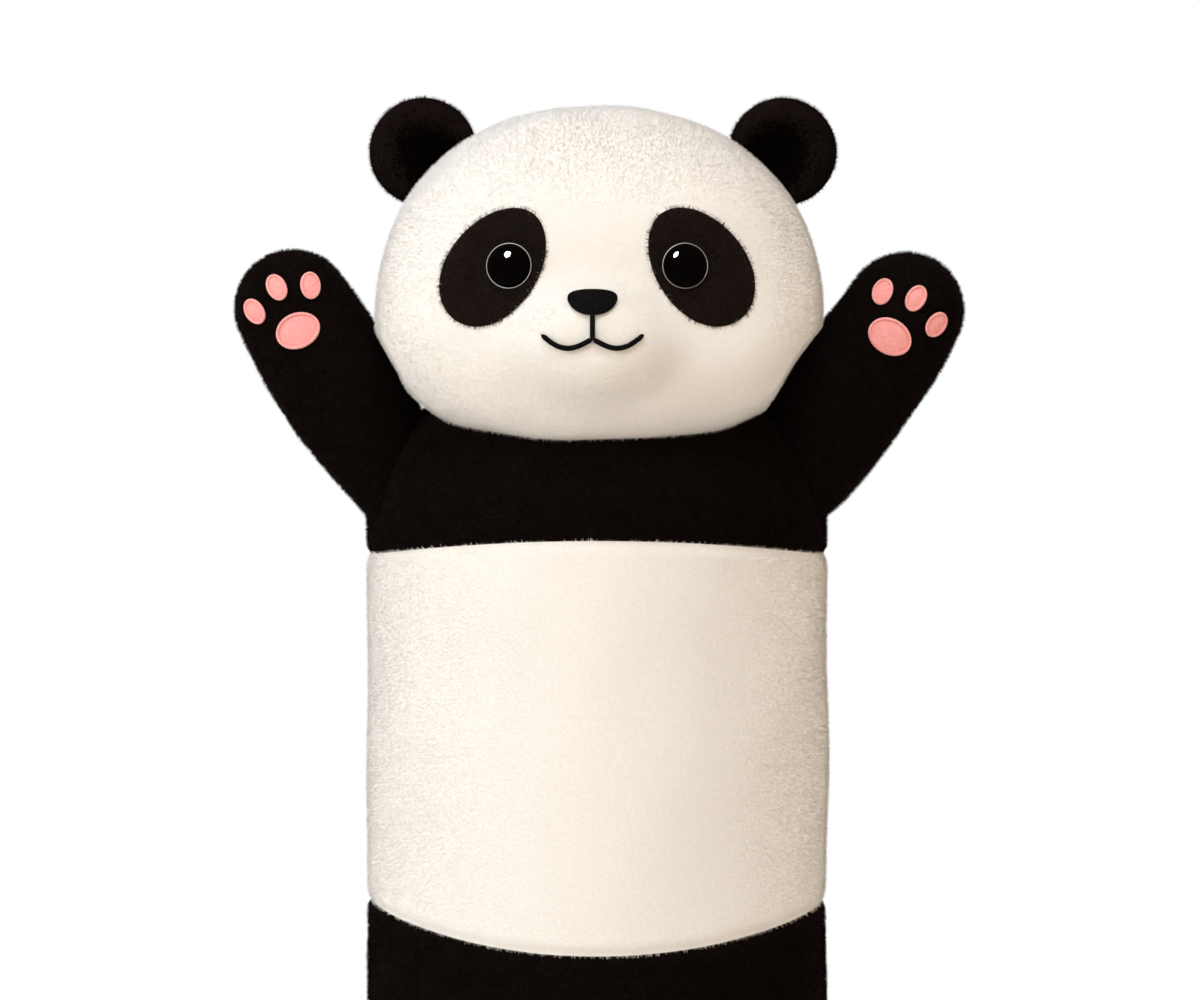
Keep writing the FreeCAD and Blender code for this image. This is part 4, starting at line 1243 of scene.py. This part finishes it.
label_rows = []
for share in np.linspace(0, 1, 24):
    x = 0.001 + 0.030 * share
    y = math.sqrt(BODY_RADIUS**2 - x**2) + 0.0012 + 0.0022 * math.sin(share * 2.6)
    inner, outer = y - 0.0003, y + 0.0003
    label_rows.append(
        [(x, inner, LABEL_LOW), (x, inner, LABEL_HIGH), (x, outer, LABEL_HIGH), (x, outer, LABEL_LOW)]
    )
label = grid("care_label_ribbon", np.array(label_rows), LABEL, True, True)
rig.replaces(label, "care_label")
settle([label], "label_cloth", "torso")

for node_name, made in frame["nodes"].items():
    if node_name.endswith("eye_washer"):
        made.data.materials.clear()
        made.data.materials.append(WASHER)


# ---------------------------------------------------------------- room, lights and camera


TOY_MIDDLE = (0, 0, 0.42)
CAMERA_AWAY, CAMERA_WIDTH = 1.8, 0.624


def area(name, place, target, size, power, color=(1, 1, 1)):
    """A disc-shaped area light at a place, aimed at a target."""
    light = bpy.data.lights.new(name, "AREA")
    light.shape = "DISK"
    light.size = size
    light.energy = power
    light.color = color
    made = bpy.data.objects.new(name, light)
    bpy.context.scene.collection.objects.link(made)
    made.location = place
    made.rotation_euler = (Vector(target) - Vector(place)).to_track_quat("-Z", "Y").to_euler()
    return made


bpy.ops.mesh.primitive_circle_add(vertices=128, radius=1.1, fill_type="NGON", location=(0, 0, 0))
floor = bpy.context.active_object
floor.name = "floor"
floor.data.materials.append(plain("floor_white", (0.93, 0.93, 0.93), 0.9, Specular_IOR_Level=0.0))
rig.stage(floor)

world = bpy.data.worlds.new("studio")
bpy.context.scene.world = world
world.use_nodes = True
sky, links = world.node_tree.nodes, world.node_tree.links
backdrop = sky["Background"]
backdrop.inputs["Color"].default_value = (1, 1, 1, 1)
backdrop.inputs["Strength"].default_value = 1.0
ambient = sky.new("ShaderNodeBackground")
ambient.inputs["Color"].default_value = (1.0, 0.827, 0.649, 1)
ambient.inputs["Strength"].default_value = 0.712
seen = sky.new("ShaderNodeLightPath")
either = sky.new("ShaderNodeMixShader")
links.new(seen.outputs["Is Camera Ray"], either.inputs["Fac"])
links.new(ambient.outputs["Background"], either.inputs[1])
links.new(backdrop.outputs["Background"], either.inputs[2])
links.new(either.outputs["Shader"], sky["World Output"].inputs["Surface"])
softs = [
    area("left_soft_box", (-1.602, -1.602, 1.477), TOY_MIDDLE, 1.2, 15.6, (0.816, 0.947, 1.0)),
    area("top_soft_box", (0.0, -1.25, 2.585), TOY_MIDDLE, 1.2, 32.0, (0.716, 0.841, 1.0)),
    area("side_soft_box", (-2.378, -0.637, 0.854), TOY_MIDDLE, 1.2, 16.5, (0.684, 0.797, 1.0)),
]
glint = area("catch_light", (-0.54, -1.42, 1.74), (0, -0.1, 0.544), 0.5, 2600)
glint.data.shape = "ELLIPSE"
glint.data.size_y = 0.7
glint.visible_diffuse = False
for soft in softs:
    soft.visible_glossy = False
bpy.context.scene.view_settings.view_transform = "Standard"

camera = bpy.data.objects.new("camera", bpy.data.cameras.new("camera"))
bpy.context.scene.collection.objects.link(camera)
camera.location = (0.0014, -CAMERA_AWAY, 0.430)
camera.rotation_euler = (math.pi / 2, 0, 0)
camera.data.sensor_width = 36
camera.data.lens = camera.data.sensor_width * CAMERA_AWAY / CAMERA_WIDTH
bpy.context.scene.camera = camera

save_size("visual")
